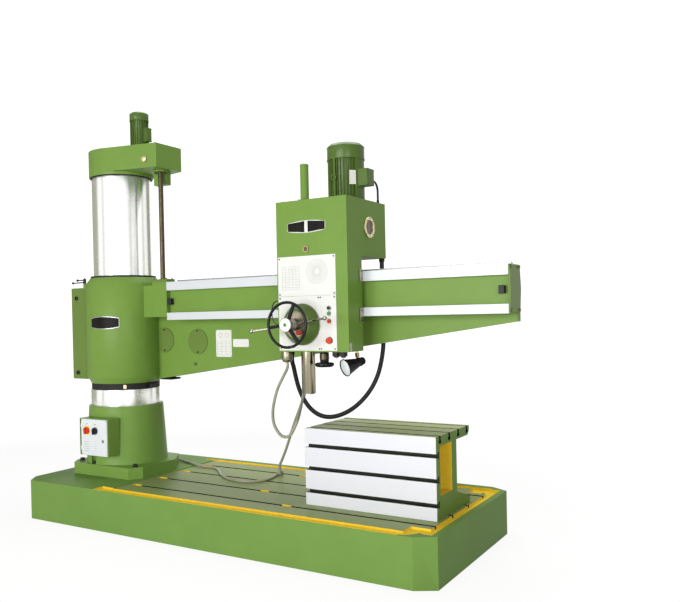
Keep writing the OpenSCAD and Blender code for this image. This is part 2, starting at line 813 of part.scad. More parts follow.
module table_section() {
  difference() {
    polygon([
      [-table_front, surface_z], [foot_back, surface_z], [foot_back, foot_z],
      [web_y1, surface_z + table_fillet], [web_y1, plate_z], [table_back - edge_in, plate_z],
      [table_back, plate_z + edge_h], [table_back, table_top], [-table_front, table_top]
    ]);
    translate([-table_front + table_wall, floor_z])
      square([web_y0 + table_front - table_wall, plate_z - floor_z]);
    for (i = [-1.5:1:1.5])
      translate([-table_front + table_w / 2 + 14 + i * top_slot_step, table_top]) slot_section();
    for (i = [0:2]) translate([-table_front, table_top - front_slot_drop - i * front_slot_step])
      rotate(90) slot_section();
  }
}

module box_table() {
  color(machined) difference() {
    lengthwise(table_x, table_x + table_l) table_section();
    for (x = table_bolt_xs) {
      bar_z(x, table_bolt_y, surface_z - over, plate_z, table_bolt_r + over);
      bar_z(x, table_bolt_y, foot_z, plate_z - 100, 44);
    }
  }
}

module table_bolts() {
  head_top_z = surface_z - slot_neck_h - over;
  color(steel) for (x = table_bolt_xs) {
    bar_z(x, table_bolt_y, head_top_z - over, foot_z + 52, table_bolt_r);
    translate([x, table_bolt_y, foot_z]) cylinder(h = 8, r = 40);
    translate([x, table_bolt_y, foot_z + 8]) hex_bolt(48, 28);
    block([x - slot_head / 2 + 2, table_bolt_y - slot_head / 2 + 2, head_top_z - slot_head_h + 4],
      [x + slot_head / 2 - 2, table_bolt_y + slot_head / 2 - 2, head_top_z]);
  }
}

module base_hose_fittings() {
  start = lower_route[0];
  stop = lower_route[len(lower_route) - 1];
  color(steel) {
    block([start[0] - 50, start[1] - 26, base_h], [start[0], start[1] + 26, start[2] + 26]);
    block([coupling_at[0] - 30, stop[1], surface_z], [coupling_at[0] + 30, coupling_at[1] + 30,
      coupling_at[2] - 22]);
    bar_z(coupling_at[0], coupling_at[1], coupling_at[2] - 23, coupling_at[2] - fit_gap, coolant_d / 2 + 6);
  }
}

module coolant_hose_lower() {
  color(grey_hose) cord(lower_route, coolant_d);
}

// Column and cap

module outer_column() {
  color(steel) difference() {
    union() {
      bar_z(0, 0, cone_z + fit_gap, skirt_z, skirt_r);
      bar_z(0, 0, skirt_z, column_seat, column_r);
    }
    bar_z(0, 0, cone_z - over, column_seat + over, column_r - column_wall);
  }
}

module column_bearings() {
  low = cone_z + 40;
  high = column_seat - 160;
  color(bronze) for (z = [low, high])
    ring(z, z + 100, inner_r + fit_gap, column_r - column_wall - fit_gap);
}

// Where a line from a far corner touches the cap's round collar
function touch(corner, r) =
  let (d = norm(corner), a = atan2(corner[1], corner[0]) - acos(r / d)) r * [cos(a), sin(a)];

module cap_outline() {
  corner = [cap_x, -cap_y];
  t = touch(corner, cap_r);
  circle(r = cap_r, $fn = 96);
  polygon([[0, 0], t, corner, [cap_x, cap_y], [t[0], -t[1]]]);
}

module top_cap() {
  color(green) difference() {
    union() {
      translate([0, 0, cap_box_z]) linear_extrude(cap_top - cap_box_z) cap_outline();
      bar_z(0, 0, collar_z, cap_box_z, cap_r);
    }
    bar_z(0, 0, collar_z - over, column_seat, column_r + fit_gap);
    difference() {
      block([lift_motor_x - lift_motor_r, -cap_y + cap_wall, cap_box_z + 2 * cap_wall],
        [cap_x - cap_wall, cap_y - cap_wall, cap_top - cap_wall]);
      bar_z(lift_idler_x, 0, cap_box_z, lift_gear_z + lift_gear_w, axle_r);
      bar_z(lift_idler_x, 0, cap_box_z, lift_gear_z - fit_gap, axle_r * 1.6);
    }
    bar_z(screw_x, 0, cap_box_z - over, cap_top - cap_wall - over, screw_r + run_gap);
    bar_z(lift_motor_x, 0, cap_top - cap_wall - over, cap_top + over, motor_shaft_r + run_gap);
  }
}

// A finned motor standing on its flange, with its shaft hole in the foot
module motor_body(r, h, cowl, fins) {
  core = r * 0.86;
  difference() {
    union() {
      cylinder(h = 28, r = r);
      cylinder(h = h - cowl, r = core);
      for (i = [0:fins - 1]) rotate(360 * i / fins)
        translate([core - 4, -r * 0.018, 28]) cube([r * 0.97 - core + 4, r * 0.036, h - cowl - 28]);
      translate([0, 0, h - cowl]) cylinder(h = cowl * 0.82, r = r);
      translate([0, 0, h - cowl * 0.18]) cylinder(h = cowl * 0.18, r1 = r, r2 = r * 0.84);
    }
    translate([0, 0, -over]) cylinder(h = h * 0.5, r = motor_shaft_r + run_gap);
  }
}

module lift_motor() {
  box_z = cap_top + lift_motor_h * 0.2;
  color(green) translate([lift_motor_x, 0, 0]) {
    translate([0, 0, cap_top]) motor_body(lift_motor_r, lift_motor_h, lift_motor_h * 0.22, 24);
    difference() {
      block([lift_motor_r * 0.6, -36, box_z], [lift_motor_r + 44, 36, box_z + lift_motor_h * 0.36]);
      bar_z(0, 0, box_z - over, box_z + lift_motor_h, lift_motor_r * 0.86);
    }
  }
}

module screw_bearing() {
  color(green) difference() {
    union() {
      bar_z(screw_x, 0, cap_box_z - 20, cap_box_z, 85);
      block([screw_x - 167, bracket_y, cap_box_z - 155], [screw_x + 23, bracket_y + 90, cap_box_z]);
    }
    bar_z(screw_x, 0, cap_box_z - 20 - over, cap_box_z + over, screw_r + fit_gap);
  }
}

module lift_screw() {
  screw_foot = arm_top - nut_l - 40;
  collar = cap_box_z + 2 * cap_wall + fit_gap;
  color(steel) {
    bar_z(screw_x, 0, screw_foot, cap_top - cap_wall - 2 * over, screw_r);
    bar_z(screw_x, 0, collar, lift_gear_z, screw_r * 1.6);
    translate([screw_x, 0, lift_gear_z]) rotate(180) gear(lift_gear_teeth, lift_module, lift_gear_w);
  }
}

module lift_idler_gear() {
  color(steel) translate([lift_idler_x, 0, lift_gear_z]) difference() {
    rotate(180 / lift_idler_teeth) gear(lift_idler_teeth, lift_module, lift_gear_w);
    translate([0, 0, -over]) cylinder(h = lift_gear_w + 2 * over, r = axle_r + run_gap);
  }
}

module lift_motor_pinion() {
  color(steel) {
    translate([lift_motor_x, 0, lift_gear_z]) gear(lift_pinion_teeth, lift_module, lift_gear_w);
    bar_z(lift_motor_x, 0, lift_gear_z, cap_top + lift_motor_h * 0.4, motor_shaft_r);
  }
}

// Arm

web_root_z = sleeve_z + root_lift;
web_tip_z = lower_rail_z - tip_drop;
web_x0 = sleeve_r - 10;
block_z0 = lower_rail_z + 37;
block_z1 = arm_top - 32;
nut_x = screw_x + 28;
web_start = sqrt(sleeve_r * sleeve_r - arm_back * arm_back) - 30;
hollow_x = sleeve_r + 60;
lever_turn = 226.4;
lever_post = (sleeve_r + 5) * [cos(lever_turn), sin(lever_turn)];
post_z = sleeve_top - sleeve_chamfer * 0.7;
post_r = 18;
post_pin_r = 8;

// The arm's lower edge at x
function web_z(x) = web_root_z + (web_tip_z - web_root_z) * (x - web_x0) / (arm_x - web_x0);

module web_outline() {
  polygon([[web_start, web_z(web_start)], [arm_x, web_z(arm_x)], [arm_x, arm_top], [web_start, arm_top]]);
}

// The arm seen from above, with its back drawn in towards the far end
module arm_plan(inset) {
  linear_extrude(arm_top + over) polygon([
    [0, -rail_front - over], [arm_x + over, -rail_front - over], [arm_x + over, tip_back - inset],
    [taper_x, arm_back - inset], [0, arm_back - inset]
  ]);
}

module arm_hollow() {
  intersection() {
    union() {
      block([hollow_x + 290, trough_back + arm_wall, lower_rail_z + arm_wall],
        [arm_x + over, arm_back, arm_top - arm_wall]);
      upright(web_front + arm_wall, arm_back) polygon([
        [hollow_x, web_z(hollow_x) + arm_wall], [arm_x + over, web_z(arm_x) + arm_wall],
        [arm_x + over, arm_top - arm_wall], [hollow_x, arm_top - arm_wall]
      ]);
    }
    arm_plan(arm_wall * 0.7);
  }
}

module sleeve_shape() {
  translate([0, 0, sleeve_z]) cylinder(h = sleeve_chamfer, r1 = sleeve_r - sleeve_foot_in, r2 = sleeve_r);
  bar_z(0, 0, sleeve_z + sleeve_chamfer, sleeve_top - sleeve_chamfer, sleeve_r);
  translate([0, 0, sleeve_top - sleeve_chamfer])
    cylinder(h = sleeve_chamfer, r1 = sleeve_r, r2 = sleeve_r - sleeve_top_in);
}

module arm_casting() {
  color(green) difference() {
    union() {
      sleeve_shape();
      intersection() {
        union() {
          upright(web_front, arm_back) web_outline();
          block([rail_x, trough_back, lower_rail_z], [arm_x, web_front, arm_top]);
          block([rail_x, -rail_front + rail_t, upper_rail_z], [arm_x, web_front, arm_top]);
          block([rail_x, -rail_front + rail_t, lower_rail_z],
            [arm_x, web_front, lower_rail_z + lower_rail_h]);
        }
        arm_plan(0);
      }
      block([sleeve_r - 120, -rail_front, block_z0], [rail_x, web_front, block_z1]);
      block([nut_x - nut_plate[0] / 2, nut_front, block_z1 - over], [rail_x, web_front, arm_top]);
      bar_z(lever_post[0], lever_post[1], post_z - 60, post_z, post_r);
      bar_z(lever_post[0], lever_post[1], post_z, post_z + 70, post_pin_r);
    }
    bar_z(0, 0, sleeve_z - seal_h, sleeve_top + over, column_r + fit_gap);
    arm_hollow();
    bar_z(screw_x, 0, block_z0 - over, arm_top + over, nut_r + fit_gap);
  }
}

module guide_rails() {
  color(steel) {
    block([rail_x, -rail_front, upper_rail_z], [arm_x, -rail_front + rail_t, arm_top]);
    block([rail_x, -rail_front, lower_rail_z], [arm_x, -rail_front + rail_t,
      lower_rail_z + lower_rail_h]);
  }
}

rack_end = 20;
rack_room = 100;
stop_l = 50;
stop_end = 40;
rack_count = 2 * ceil((arm_x - rail_x) / (PI * rack_module));

module traverse_rack() {
  color(steel) upright(traverse_rack_y[0], traverse_rack_y[1]) translate([traverse_x, traverse_rack_z])
    intersection() {
      rack_profile(rack_count, rack_module, rack_backing);
      translate([rail_x + rack_end - traverse_x, -rack_room])
        square([arm_x - rail_x - 2 * rack_end, 2 * rack_room]);
    }
}

module rail_stops() {
  z = (lower_rail_z + lower_rail_h + upper_rail_z) / 2;
  color(black) for (x = [rail_x + 6, arm_x - stop_l - stop_end])
    block([x, -rail_front + 4, z - 36], [x + stop_l, trough_back, z + 36]);
}

module arm_end_plate() {
  mid_z = (lower_rail_z + arm_top) / 2;
  edge_t = end_plate_t * 0.6;
  color(green) union() {
    upright(-rail_front + 4, tip_back) polygon([
      [arm_x, lower_rail_z + 6], [arm_x + edge_t, lower_rail_z + 6], [arm_x + end_plate_t, mid_z],
      [arm_x + edge_t, arm_top - 2], [arm_x, arm_top - 2]
    ]);
    block([arm_x, web_front, web_z(arm_x)], [arm_x + edge_t, tip_back, lower_rail_z + 6 + over]);
  }
}

module sleeve_wipers() {
  color(black) {
    ring(sleeve_top, sleeve_top + 20, column_r + fit_gap, sleeve_r - sleeve_top_in - 4);
    ring(sleeve_z - seal_h + 3, sleeve_z, column_r + fit_gap, sleeve_r - sleeve_foot_in - 4);
  }
}

module clamp_housing() {
  color(green) difference() {
    block([-clamp_x, -clamp_front, sleeve_z + 34], [-column_r + 60, -clamp_front + clamp_w,
      sleeve_top - 105]);
    bar_z(0, 0, sleeve_z, sleeve_top, sleeve_r + fit_gap);
  }
}

module lift_nut() {
  color(bronze) difference() {
    union() {
      block([nut_x - nut_plate[0] / 2, nut_front, arm_top],
        [nut_x + nut_plate[0] / 2, nut_front + nut_plate[1], arm_top + nut_plate[2]]);
      bar_z(screw_x, 0, arm_top - nut_l, arm_top + over, nut_r);
    }
    bar_z(screw_x, 0, arm_top - nut_l - over, arm_top + nut_plate[2] + over, screw_r + fit_gap);
  }
}

// A ball lever that turns on the pin of the post at the sleeve's shoulder
lever_boss_h = 28;

module clamp_lever(z, reach, turn) {
  color(black) translate([lever_post[0], lever_post[1], z]) difference() {
    union() {
      cylinder(h = lever_boss_h, r = post_r);
      rotate(turn) translate([0, 0, lever_boss_h / 2]) {
        rotate([0, 90, 0]) cylinder(h = reach, r = 7);
        translate([reach, 0, 0]) sphere(r = 15);
      }
    }
    translate([0, 0, -over]) cylinder(h = lever_boss_h + 2 * over, r = post_pin_r + run_gap);
  }
}

module upper_clamp_lever() {
  clamp_lever(post_z + 2 * fit_gap + lever_boss_h, 112, 186);
}

module lower_clamp_lever() {
  clamp_lever(post_z + fit_gap, 226, 176);
}

// Drill head

saddle_x = [head_x0 + 101, head_x0 + 481];
saddle_front = traverse_rack_y[0] - 10;
saddle_rear = traverse_rack_y[1] + 10;
fine_at = [spindle_x + 220, head_front + 93];
button_x = spindle_x + 343;
button_zs = [head_z + 423, head_z + 370, head_z + 298, head_z + 111];
panel_x0 = head_x0 + 14;
panel_z0 = head_z + 12;
lamp_at = [head_x1 - 26, head_front + 203, head_z - 45];
motor_box_z = head_top + 149;
motor_box_h = 165;
motor_box_half = 70;
motor_box_out = 84;

module head_casing() {
  w = head_wall;
  color(green) difference() {
    union() {
      block([head_x0, head_front, head_z], [head_x1, head_rear, head_top]);
      block([head_x0, head_rear - over, upper_z], [head_x1, -rail_front + upper_back, head_top]);
      block([saddle_x[0], head_rear - over, arm_top + fit_gap], [saddle_x[1], saddle_front, upper_z + over]);
      block([saddle_x[0], saddle_rear, arm_top + fit_gap], [saddle_x[1], saddle_rear + 90, upper_z + over]);
    }
    difference() {
      union() {
        block([head_x0 + w, head_front + w, head_z + w], [head_x1 - w, head_rear - w, head_top - w]);
        block([head_x0 + w, head_rear - w - over, upper_z + w],
          [head_x1 - w, -rail_front + upper_back - w, head_top - w]);
      }
      bar_z(spindle_x, spindle_y, head_z, head_z + guide_l, guide_r);
      bar_z(idler_at[0], idler_at[1], drive_gear_z - 10, head_top, axle_r * 1.4);
      bar_z(idler_at[0], idler_at[1], drive_gear_z + drive_gear_w + fit_gap, head_top, axle_r * 2.4);
      bar_z(spindle_x, spindle_y, drive_gear_z + drive_gear_w + 90, head_top, gear_hub_r + 22);
      bar_y(counter_x, spindle_y + 36, head_rear, feed_z, counter_r * 2);
    }
    bar_z(spindle_x, spindle_y, head_z - over, head_z + guide_l + over, quill_r + run_gap);
    bar_z(spindle_x, spindle_y, drive_gear_z + drive_gear_w, head_top + over, gear_hub_r + run_gap);
    bar_z(motor_at[0], motor_at[1], head_top - w - over, head_top + over, motor_shaft_r + run_gap);
    bar_y(feed_x, head_front - over, head_front + w + over, feed_z, feed_shaft_r + run_gap);
    bar_y(counter_x, spindle_y + 36 - over, head_rear - 8, feed_z, counter_r + run_gap);
    bar_y(traverse_x, saddle_front - 64, saddle_rear + 54, traverse_z, axle_r + run_gap);
    bar_z(lamp_at[0], lamp_at[1], head_z - over, head_z + w + over, stem_r + run_gap);
    bar_z(fine_at[0], fine_at[1], head_z - over, head_z + w + over, axle_r * 0.7 + run_gap);
    for (z = button_zs)
      bar_y(button_x, head_front - over, head_front + w + over, z, button_r * 0.6 + run_gap);
  }
}

module main_motor() {
  color(green) translate([motor_at[0], motor_at[1], 0]) {
    translate([0, 0, head_top]) motor_body(motor_r, motor_h, cowl_h, fin_count);
    difference() {
      block([motor_r * 0.6, -motor_box_half, motor_box_z],
        [motor_r + motor_box_out, motor_box_half, motor_box_z + motor_box_h]);
      bar_z(0, 0, motor_box_z - over, motor_box_z + motor_box_h + over, motor_r * 0.86);
    }
  }
}

module spindle_guard_tube() {
  color(green) translate([spindle_x, spindle_y, head_top]) difference() {
    union() {
      cylinder(h = guard_h, r = guard_r);
      cylinder(h = 10, r = gear_hub_r + 20);
    }
    translate([0, 0, -over]) cylinder(h = guard_h - 6 + over, r = drive_r + 6);
  }
}

module front_panel(z0, z1) {
  color(white) difference() {
    block([panel_x0, head_front - panel_t, z0], [panel_x0 + panel_w, head_front, z1]);
    bar_y(feed_x, head_front - panel_t - over, head_front + over, feed_z, feed_housing_r - 30);
    for (z = button_zs)
      bar_y(button_x, head_front - panel_t - over, head_front + over, z, button_r * 0.6 + run_gap);
  }
}

module control_panel() {
  front_panel(panel_z0, panel_z0 + control_panel_h - 2);
}

module speed_panel() {
  front_panel(panel_z0 + control_panel_h, panel_z0 + control_panel_h + speed_panel_h);
}

module feed_housing() {
  recess_r = feed_housing_r - 30;
  color(green) translate([feed_x, head_front, feed_z]) rotate([90, 0, 0]) difference() {
    union() {
      cylinder(h = panel_t + feed_flat, r = recess_r - fit_gap);
      translate([0, 0, panel_t]) cylinder(h = feed_flat, r = feed_housing_r);
      translate([0, 0, panel_t + feed_flat])
        cylinder(h = feed_housing_d - feed_flat, r1 = feed_housing_r, r2 = feed_front_r);
    }
    translate([0, 0, -over]) cylinder(h = panel_t + feed_housing_d + 2 * over, r = feed_shaft_r + fit_gap);
  }
}

fitting_at = loop_route[0];

module hose_fitting() {
  height = head_z - fitting_at[2];
  color(steel) translate(fitting_at) {
    cylinder(h = 20, r1 = 40, r2 = 52);
    translate([0, 0, 20]) cylinder(h = height - 20, r = 55);
  }
}

// A gland that stands on a face and holds the end of a cord
module gland(at, turn, length, d) {
  translate(at) rotate(turn) {
    cylinder(h = length * 0.55, r = d * 0.7, $fn = 6);
    translate([0, 0, length * 0.55]) cylinder(h = length * 0.45, r1 = d * 0.66, r2 = d * 0.56);
  }
}

module head_glands() {
  power_end = power_route[len(power_route) - 1];
  loop_end = loop_route[len(loop_route) - 1];
  cable_end = cable_route[len(cable_route) - 1];
  box_face = motor_at[1] + motor_box_half;
  color(black) {
    for (end = [[power_end, power_d], [loop_end, coolant_d], [upper_route[0], coolant_d]])
      gland([end[0][0], end[0][1], head_z], [180, 0, 0], head_z - end[0][2], end[1]);
    gland([power_route[0][0], power_route[0][1], upper_z], [180, 0, 0], upper_z - power_route[0][2], power_d);
    gland([cable_route[0][0], box_face, cable_route[0][2]], [-90, 0, 0], cable_route[0][1] - box_face, cable_d);
    gland([cable_end[0], cable_end[1], head_top], [0, 0, 0], cable_end[2] - head_top, cable_d);
  }
}

module power_hose() {
  color(black) cord(power_route, power_d);
}

module coolant_hose_loop() {
  color(grey_hose) cord(loop_route, coolant_d);
}

module coolant_hose_upper() {
  color(grey_hose) cord(upper_route, coolant_d);
}

module motor_cable() {
  color(black) cord(cable_route, cable_d, 8);
}

module traverse_pinion() {
  mid_y = (traverse_rack_y[0] + traverse_rack_y[1]) / 2;
  color(steel) union() {
    translate([traverse_x, mid_y + 22, traverse_z]) rotate([90, 0, 0])
      rotate(-90) gear(traverse_teeth, rack_module, 44);
    bar_y(traverse_x, saddle_front - 60, saddle_rear + 50, traverse_z, axle_r);
  }
}

// Quill, spindle and their drives

rack_half_w = 18;
rack_below = 300;
rack_above = 325;

module quill() {
  groove_x = rack_pitch_x - 1.25 * rack_module;
  color(steel) difference() {
    union() {
      difference() {
        bar_z(spindle_x, spindle_y, quill_foot, quill_top, quill_r);
        block([groove_x, spindle_y - rack_half_w, feed_z - rack_below],
          [spindle_x + quill_r + over, spindle_y + rack_half_w, feed_z + rack_above]);
      }
      upright(spindle_y - rack_half_w, spindle_y + rack_half_w)
        translate([rack_pitch_x, feed_z]) rotate(-90) intersection() {
          rack_profile(2 * ceil(rack_above / (PI * rack_module)), rack_module, 4);
          translate([-rack_above, -40]) square([rack_above + rack_below, 80]);
        }
    }
    bar_z(spindle_x, spindle_y, quill_foot - over, quill_top + over, spindle_r + run_gap);
    bar_z(spindle_x, spindle_y, quill_foot + bearing_l, quill_top - bearing_l, spindle_r + 5);
  }
}

nose_h = 8;
key_w = 12;
key_h = 6;
spindle_top = drive_gear_z + drive_gear_w + 315;

module spindle() {
  color(steel) difference() {
    union() {
      bar_z(spindle_x, spindle_y, quill_foot - nose_h, quill_foot - fit_gap, quill_r - 12);
      bar_z(spindle_x, spindle_y, quill_foot - nose_h, quill_top + 20, spindle_r);
      bar_z(spindle_x, spindle_y, quill_top, spindle_top, drive_r);
    }
    translate([spindle_x, spindle_y, quill_foot - nose_h - over])
      cylinder(h = taper_l + over, r1 = taper_r, r2 = taper_r - taper_l / 40);
    for (side = [-1, 1]) translate([spindle_x + side * drive_r, spindle_y, quill_top + 40])
      translate([-key_h, -key_w / 2, 0]) cube([2 * key_h, key_w, spindle_top - quill_top]);
  }
}

module spindle_gear() {
  hub_top = head_top - fit_gap;
  color(steel) translate([spindle_x, spindle_y, 0]) {
    difference() {
      union() {
        translate([0, 0, drive_gear_z]) rotate(drive_turn) gear(spindle_teeth, drive_module, drive_gear_w);
        bar_z(0, 0, drive_gear_z, hub_top, gear_hub_r);
      }
      bar_z(0, 0, drive_gear_z - over, hub_top + over, drive_r + fit_gap);
    }
    for (side = [-1, 1]) translate([side * (drive_r - 1), 0, drive_gear_z])
      translate([-4, -key_w / 2 + fit_gap, 0]) cube([8, key_w - 2 * fit_gap, drive_gear_w]);
  }
}

module idler_gear() {
  color(steel) translate([idler_at[0], idler_at[1], drive_gear_z]) difference() {
    rotate(drive_turn + 180 + 180 / idler_teeth) gear(idler_teeth, drive_module, drive_gear_w);
    translate([0, 0, -over]) cylinder(h = drive_gear_w + 2 * over, r = axle_r * 1.4 + run_gap);
  }
}

module motor_pinion() {
  color(steel) {
    translate([motor_at[0], motor_at[1], drive_gear_z])
      rotate(drive_turn + 180) gear(pinion_teeth, drive_module, drive_gear_w);
    bar_z(motor_at[0], motor_at[1], drive_gear_z, head_top + motor_h * 0.45, motor_shaft_r);
  }
}

// Feed controls on the front of the head

hub_y = head_front - panel_t - feed_housing_d;
lever_hub_l = 60;
lever_y = hub_y - lever_hub_l / 2;
rim_y = head_front - wheel_out;
lever_tilt = 8;
lever_lean = atan2(lever_y - rim_y, lever_l);
feed_gear_y = head_front + head_wall + 11;
gear_w = 20;

module feed_levers() {
  color(steel) difference() {
    union() {
      bar_y(feed_x, hub_y - fit_gap, feed_gear_y + gear_w, feed_z, feed_shaft_r);
      bar_y(feed_x, hub_y - lever_hub_l, hub_y - fit_gap, feed_z, 56);
      translate([feed_x, feed_gear_y + gear_w, feed_z]) rotate([90, 0, 0])
        gear(feed_teeth, feed_module, gear_w);
      for (side = [0, 180])
        translate([feed_x, lever_y, feed_z]) rotate([0, side - lever_tilt, 0]) rotate([0, 0, -lever_lean]) {
          rotate([0, 90, 0]) cylinder(h = lever_l, r = lever_r);
          translate([lever_l, 0, 0]) sphere(r = 21);
        }
    }
    bar_y(feed_x, hub_y - lever_hub_l - over, head_front, feed_z, wheel_shaft_r + run_gap);
  }
}

module counter_shaft() {
  color(steel) {
    bar_y(counter_x, feed_gear_y, head_rear - 9, feed_z, counter_r);
    translate([counter_x, feed_gear_y + gear_w, feed_z]) rotate([90, 0, 0])
      rotate(180 + 180 / counter_teeth) gear(counter_teeth, feed_module, gear_w);
    translate([counter_x, spindle_y + 17, feed_z]) rotate([90, 0, 0])
      rotate(180) gear(rack_teeth, rack_module, 34);
  }
}

wheel_hub_y = hub_y - lever_hub_l - 4;
cap_front = rim_y - 32;

module handwheel() {
  color(black) difference() {
    union() {
      translate([feed_x, rim_y, feed_z]) rotate([90, 0, 0])
        rotate_extrude($fn = 96) translate([wheel_r, 0]) circle(r = rim_t / 2, $fn = 24);
      bar_y(feed_x, cap_front + 22, wheel_hub_y, feed_z, 50);
      bar_y(feed_x, cap_front, cap_front + 22, feed_z, 67);
      bar_y(feed_x, wheel_hub_y, head_front - 10, feed_z, wheel_shaft_r);
      for (a = [67, 187, 307]) translate([feed_x, rim_y + 11, feed_z]) rotate([90, 0, 0]) rotate(a)
        translate([40, -15, 0]) cube([wheel_r - 40, 30, 22]);
    }
    bar_y(feed_x, cap_front - over, cap_front + 18, feed_z, button_r + fit_gap);
  }
}

module hub_button() {
  color("green") bar_y(feed_x, cap_front - button_travel - 3, cap_front + 18 - button_travel - 1, feed_z,
    button_r);
}

module fine_feed_wheel() {
  rim_z = head_z - 130;
  color(black) translate([fine_at[0], fine_at[1], 0]) {
    translate([0, 0, rim_z]) rotate_extrude($fn = 96) polygon([
      [0, -6], [fine_r * 0.6, -16], [fine_r - 14, -20], [fine_r, -6], [fine_r, 14], [fine_r - 16, 22],
      [fine_r * 0.5, 20], [36, 40], [0, 40]
    ]);
    bar_z(0, 0, rim_z + 30, head_z - 8, 44);
    bar_z(0, 0, rim_z + 30, head_z + head_wall + 6, axle_r * 0.7);
  }
}

// A push button: a head in front of the panel and a stem through it
module button(z, r, depth) {
  out = head_front - panel_t;
  bar_y(button_x, out - depth - button_travel, out - button_travel - fit_gap, z, r);
  bar_y(button_x, out - button_travel - fit_gap, head_front + head_wall + 2, z, button_r * 0.6);
}

module black_button() {
  color(black) button(button_zs[0], button_r, 10);
}

module green_button() {
  color("green") button(button_zs[1], button_r, 10);
}

module red_button() {
  color("red") button(button_zs[2], button_r * 1.2, 10);
}

module stop_button() {
  color("red") button(button_zs[3], stop_r, 24);
}

// Work lamp under the head

lamp_turn = -118;
lamp_dip = 16.3;
lamp_tail = 60;
lamp_hang = 66;
fork_w = 34;
fork_t = 9;
lamp_pin_r = 5;

module lamp_bracket() {
  color(steel) difference() {
    union() {
      bar_z(lamp_at[0], lamp_at[1], lamp_at[2] + 12, head_z + head_wall, stem_r);
      translate(lamp_at) rotate(lamp_turn) block([-14, -fork_w / 2, -12], [14, fork_w / 2, 30]);
    }
    translate(lamp_at) rotate(lamp_turn)
      block([-20, -fork_w / 2 + fork_t, -20], [20, fork_w / 2 - fork_t, 16]);
    translate(lamp_at) rotate(lamp_turn) bar_y(0, -fork_w, fork_w, 0, lamp_pin_r + run_gap);
  }
}

module lamp() {
  neck = lamp_l * 0.3;
  tongue = fork_w / 2 - fork_t - fit_gap;
  color(black) translate(lamp_at) rotate(lamp_turn) {
    bar_y(0, -fork_w / 2, fork_w / 2, 0, lamp_pin_r);
    block([-10, -tongue, -lamp_hang + 20], [10, tongue, 10]);
    rotate([0, 90 + lamp_dip, 0]) translate([lamp_hang, 0, -lamp_tail]) difference() {
      union() {
        cylinder(h = neck, r1 = 30, r2 = 42);
        translate([0, 0, neck]) cylinder(h = lamp_l - neck, r1 = 42, r2 = lamp_r);
      }
      translate([0, 0, neck + 10]) cylinder(h = lamp_l - neck - 10 + over, r1 = 40, r2 = lamp_r - 4);
    }
  }
}

base();
pedestal();
pedestal_bolts();
inner_column();
electric_box();
cabinet_door();
main_switch();
selector_knob();
box_table();
table_bolts();
coolant_hose_lower();
base_hose_fittings();
outer_column();
column_bearings();
top_cap();
lift_motor();
screw_bearing();
lift_screw();
lift_idler_gear();
lift_motor_pinion();
arm_casting();
guide_rails();
traverse_rack();
rail_stops();
arm_end_plate();
sleeve_wipers();
clamp_housing();
lift_nut();
upper_clamp_lever();
lower_clamp_lever();
head_casing();
main_motor();
spindle_guard_tube();
speed_panel();
control_panel();
feed_housing();
hose_fitting();
head_glands();
power_hose();
coolant_hose_loop();
coolant_hose_upper();
motor_cable();
traverse_pinion();
quill();
spindle();
spindle_gear();
idler_gear();
motor_pinion();
feed_levers();
counter_shaft();
handwheel();
hub_button();
fine_feed_wheel();
black_button();
green_button();
red_button();
stop_button();
lamp_bracket();
lamp();
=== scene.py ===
import math
import bmesh
import bpy
from mathutils import Matrix, Vector


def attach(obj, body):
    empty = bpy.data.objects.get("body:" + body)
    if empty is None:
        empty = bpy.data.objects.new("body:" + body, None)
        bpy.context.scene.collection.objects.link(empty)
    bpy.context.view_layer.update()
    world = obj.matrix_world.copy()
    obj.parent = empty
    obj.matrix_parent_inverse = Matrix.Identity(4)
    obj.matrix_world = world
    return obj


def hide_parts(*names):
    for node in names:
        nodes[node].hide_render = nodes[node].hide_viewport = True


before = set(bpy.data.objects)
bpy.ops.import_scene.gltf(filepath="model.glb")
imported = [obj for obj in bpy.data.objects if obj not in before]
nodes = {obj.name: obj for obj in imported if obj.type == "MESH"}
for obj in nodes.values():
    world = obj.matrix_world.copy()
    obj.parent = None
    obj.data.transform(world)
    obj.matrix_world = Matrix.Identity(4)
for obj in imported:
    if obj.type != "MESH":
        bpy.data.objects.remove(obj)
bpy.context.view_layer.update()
scene = bpy.context.scene
scene.view_settings.view_transform = "Standard"
print("frame loaded:", len(nodes), "nodes")


def addObject(name, data):
    made = bpy.data.objects.new(name, data)
    scene.collection.objects.link(made)
    return made


# Camera where the photograph was taken from
cameraSetup = {
    "place": (6.8518, -6.5624, 2.27107),
    "yaw": 31.7044, "pitch": -0.6094, "roll": -1.2302,  # degrees
    "focal": 750.2775, "centre": (319.292, 322.666), "picture": (680, 602),  # pixels
}


def placeCamera(setup):
    yaw, pitch, roll = (math.radians(setup[k]) for k in ("yaw", "pitch", "roll"))
    ahead = Vector((-math.sin(yaw) * math.cos(pitch), math.cos(yaw) * math.cos(pitch), math.sin(pitch)))
    right = Vector((math.cos(yaw), math.sin(yaw), 0))
    up = right.cross(ahead)
    across = math.cos(roll) * right + math.sin(roll) * up
    upward = -math.sin(roll) * right + math.cos(roll) * up
    lens = bpy.data.cameras.new("photoCamera")
    wide, high = setup["picture"]
    lens.sensor_width = 36
    lens.lens = 36 * setup["focal"] / wide
    lens.shift_x = (wide / 2 - setup["centre"][0]) / wide
    lens.shift_y = (setup["centre"][1] - high / 2) / wide
    lens.clip_end = 200
    camera = addObject("photoCamera", lens)
    turn = Matrix((across, upward, -ahead)).transposed().to_4x4()
    camera.matrix_world = Matrix.Translation(setup["place"]) @ turn
    scene.camera = camera


placeCamera(cameraSetup)

# Small helpers for node trees


def addNode(tree, kind, inputs=None, **values):
    made = tree.nodes.new(kind)
    for key, value in values.items():
        setattr(made, key, value)
    for key, value in (inputs or {}).items():
        made.inputs[key].default_value = value
    return made


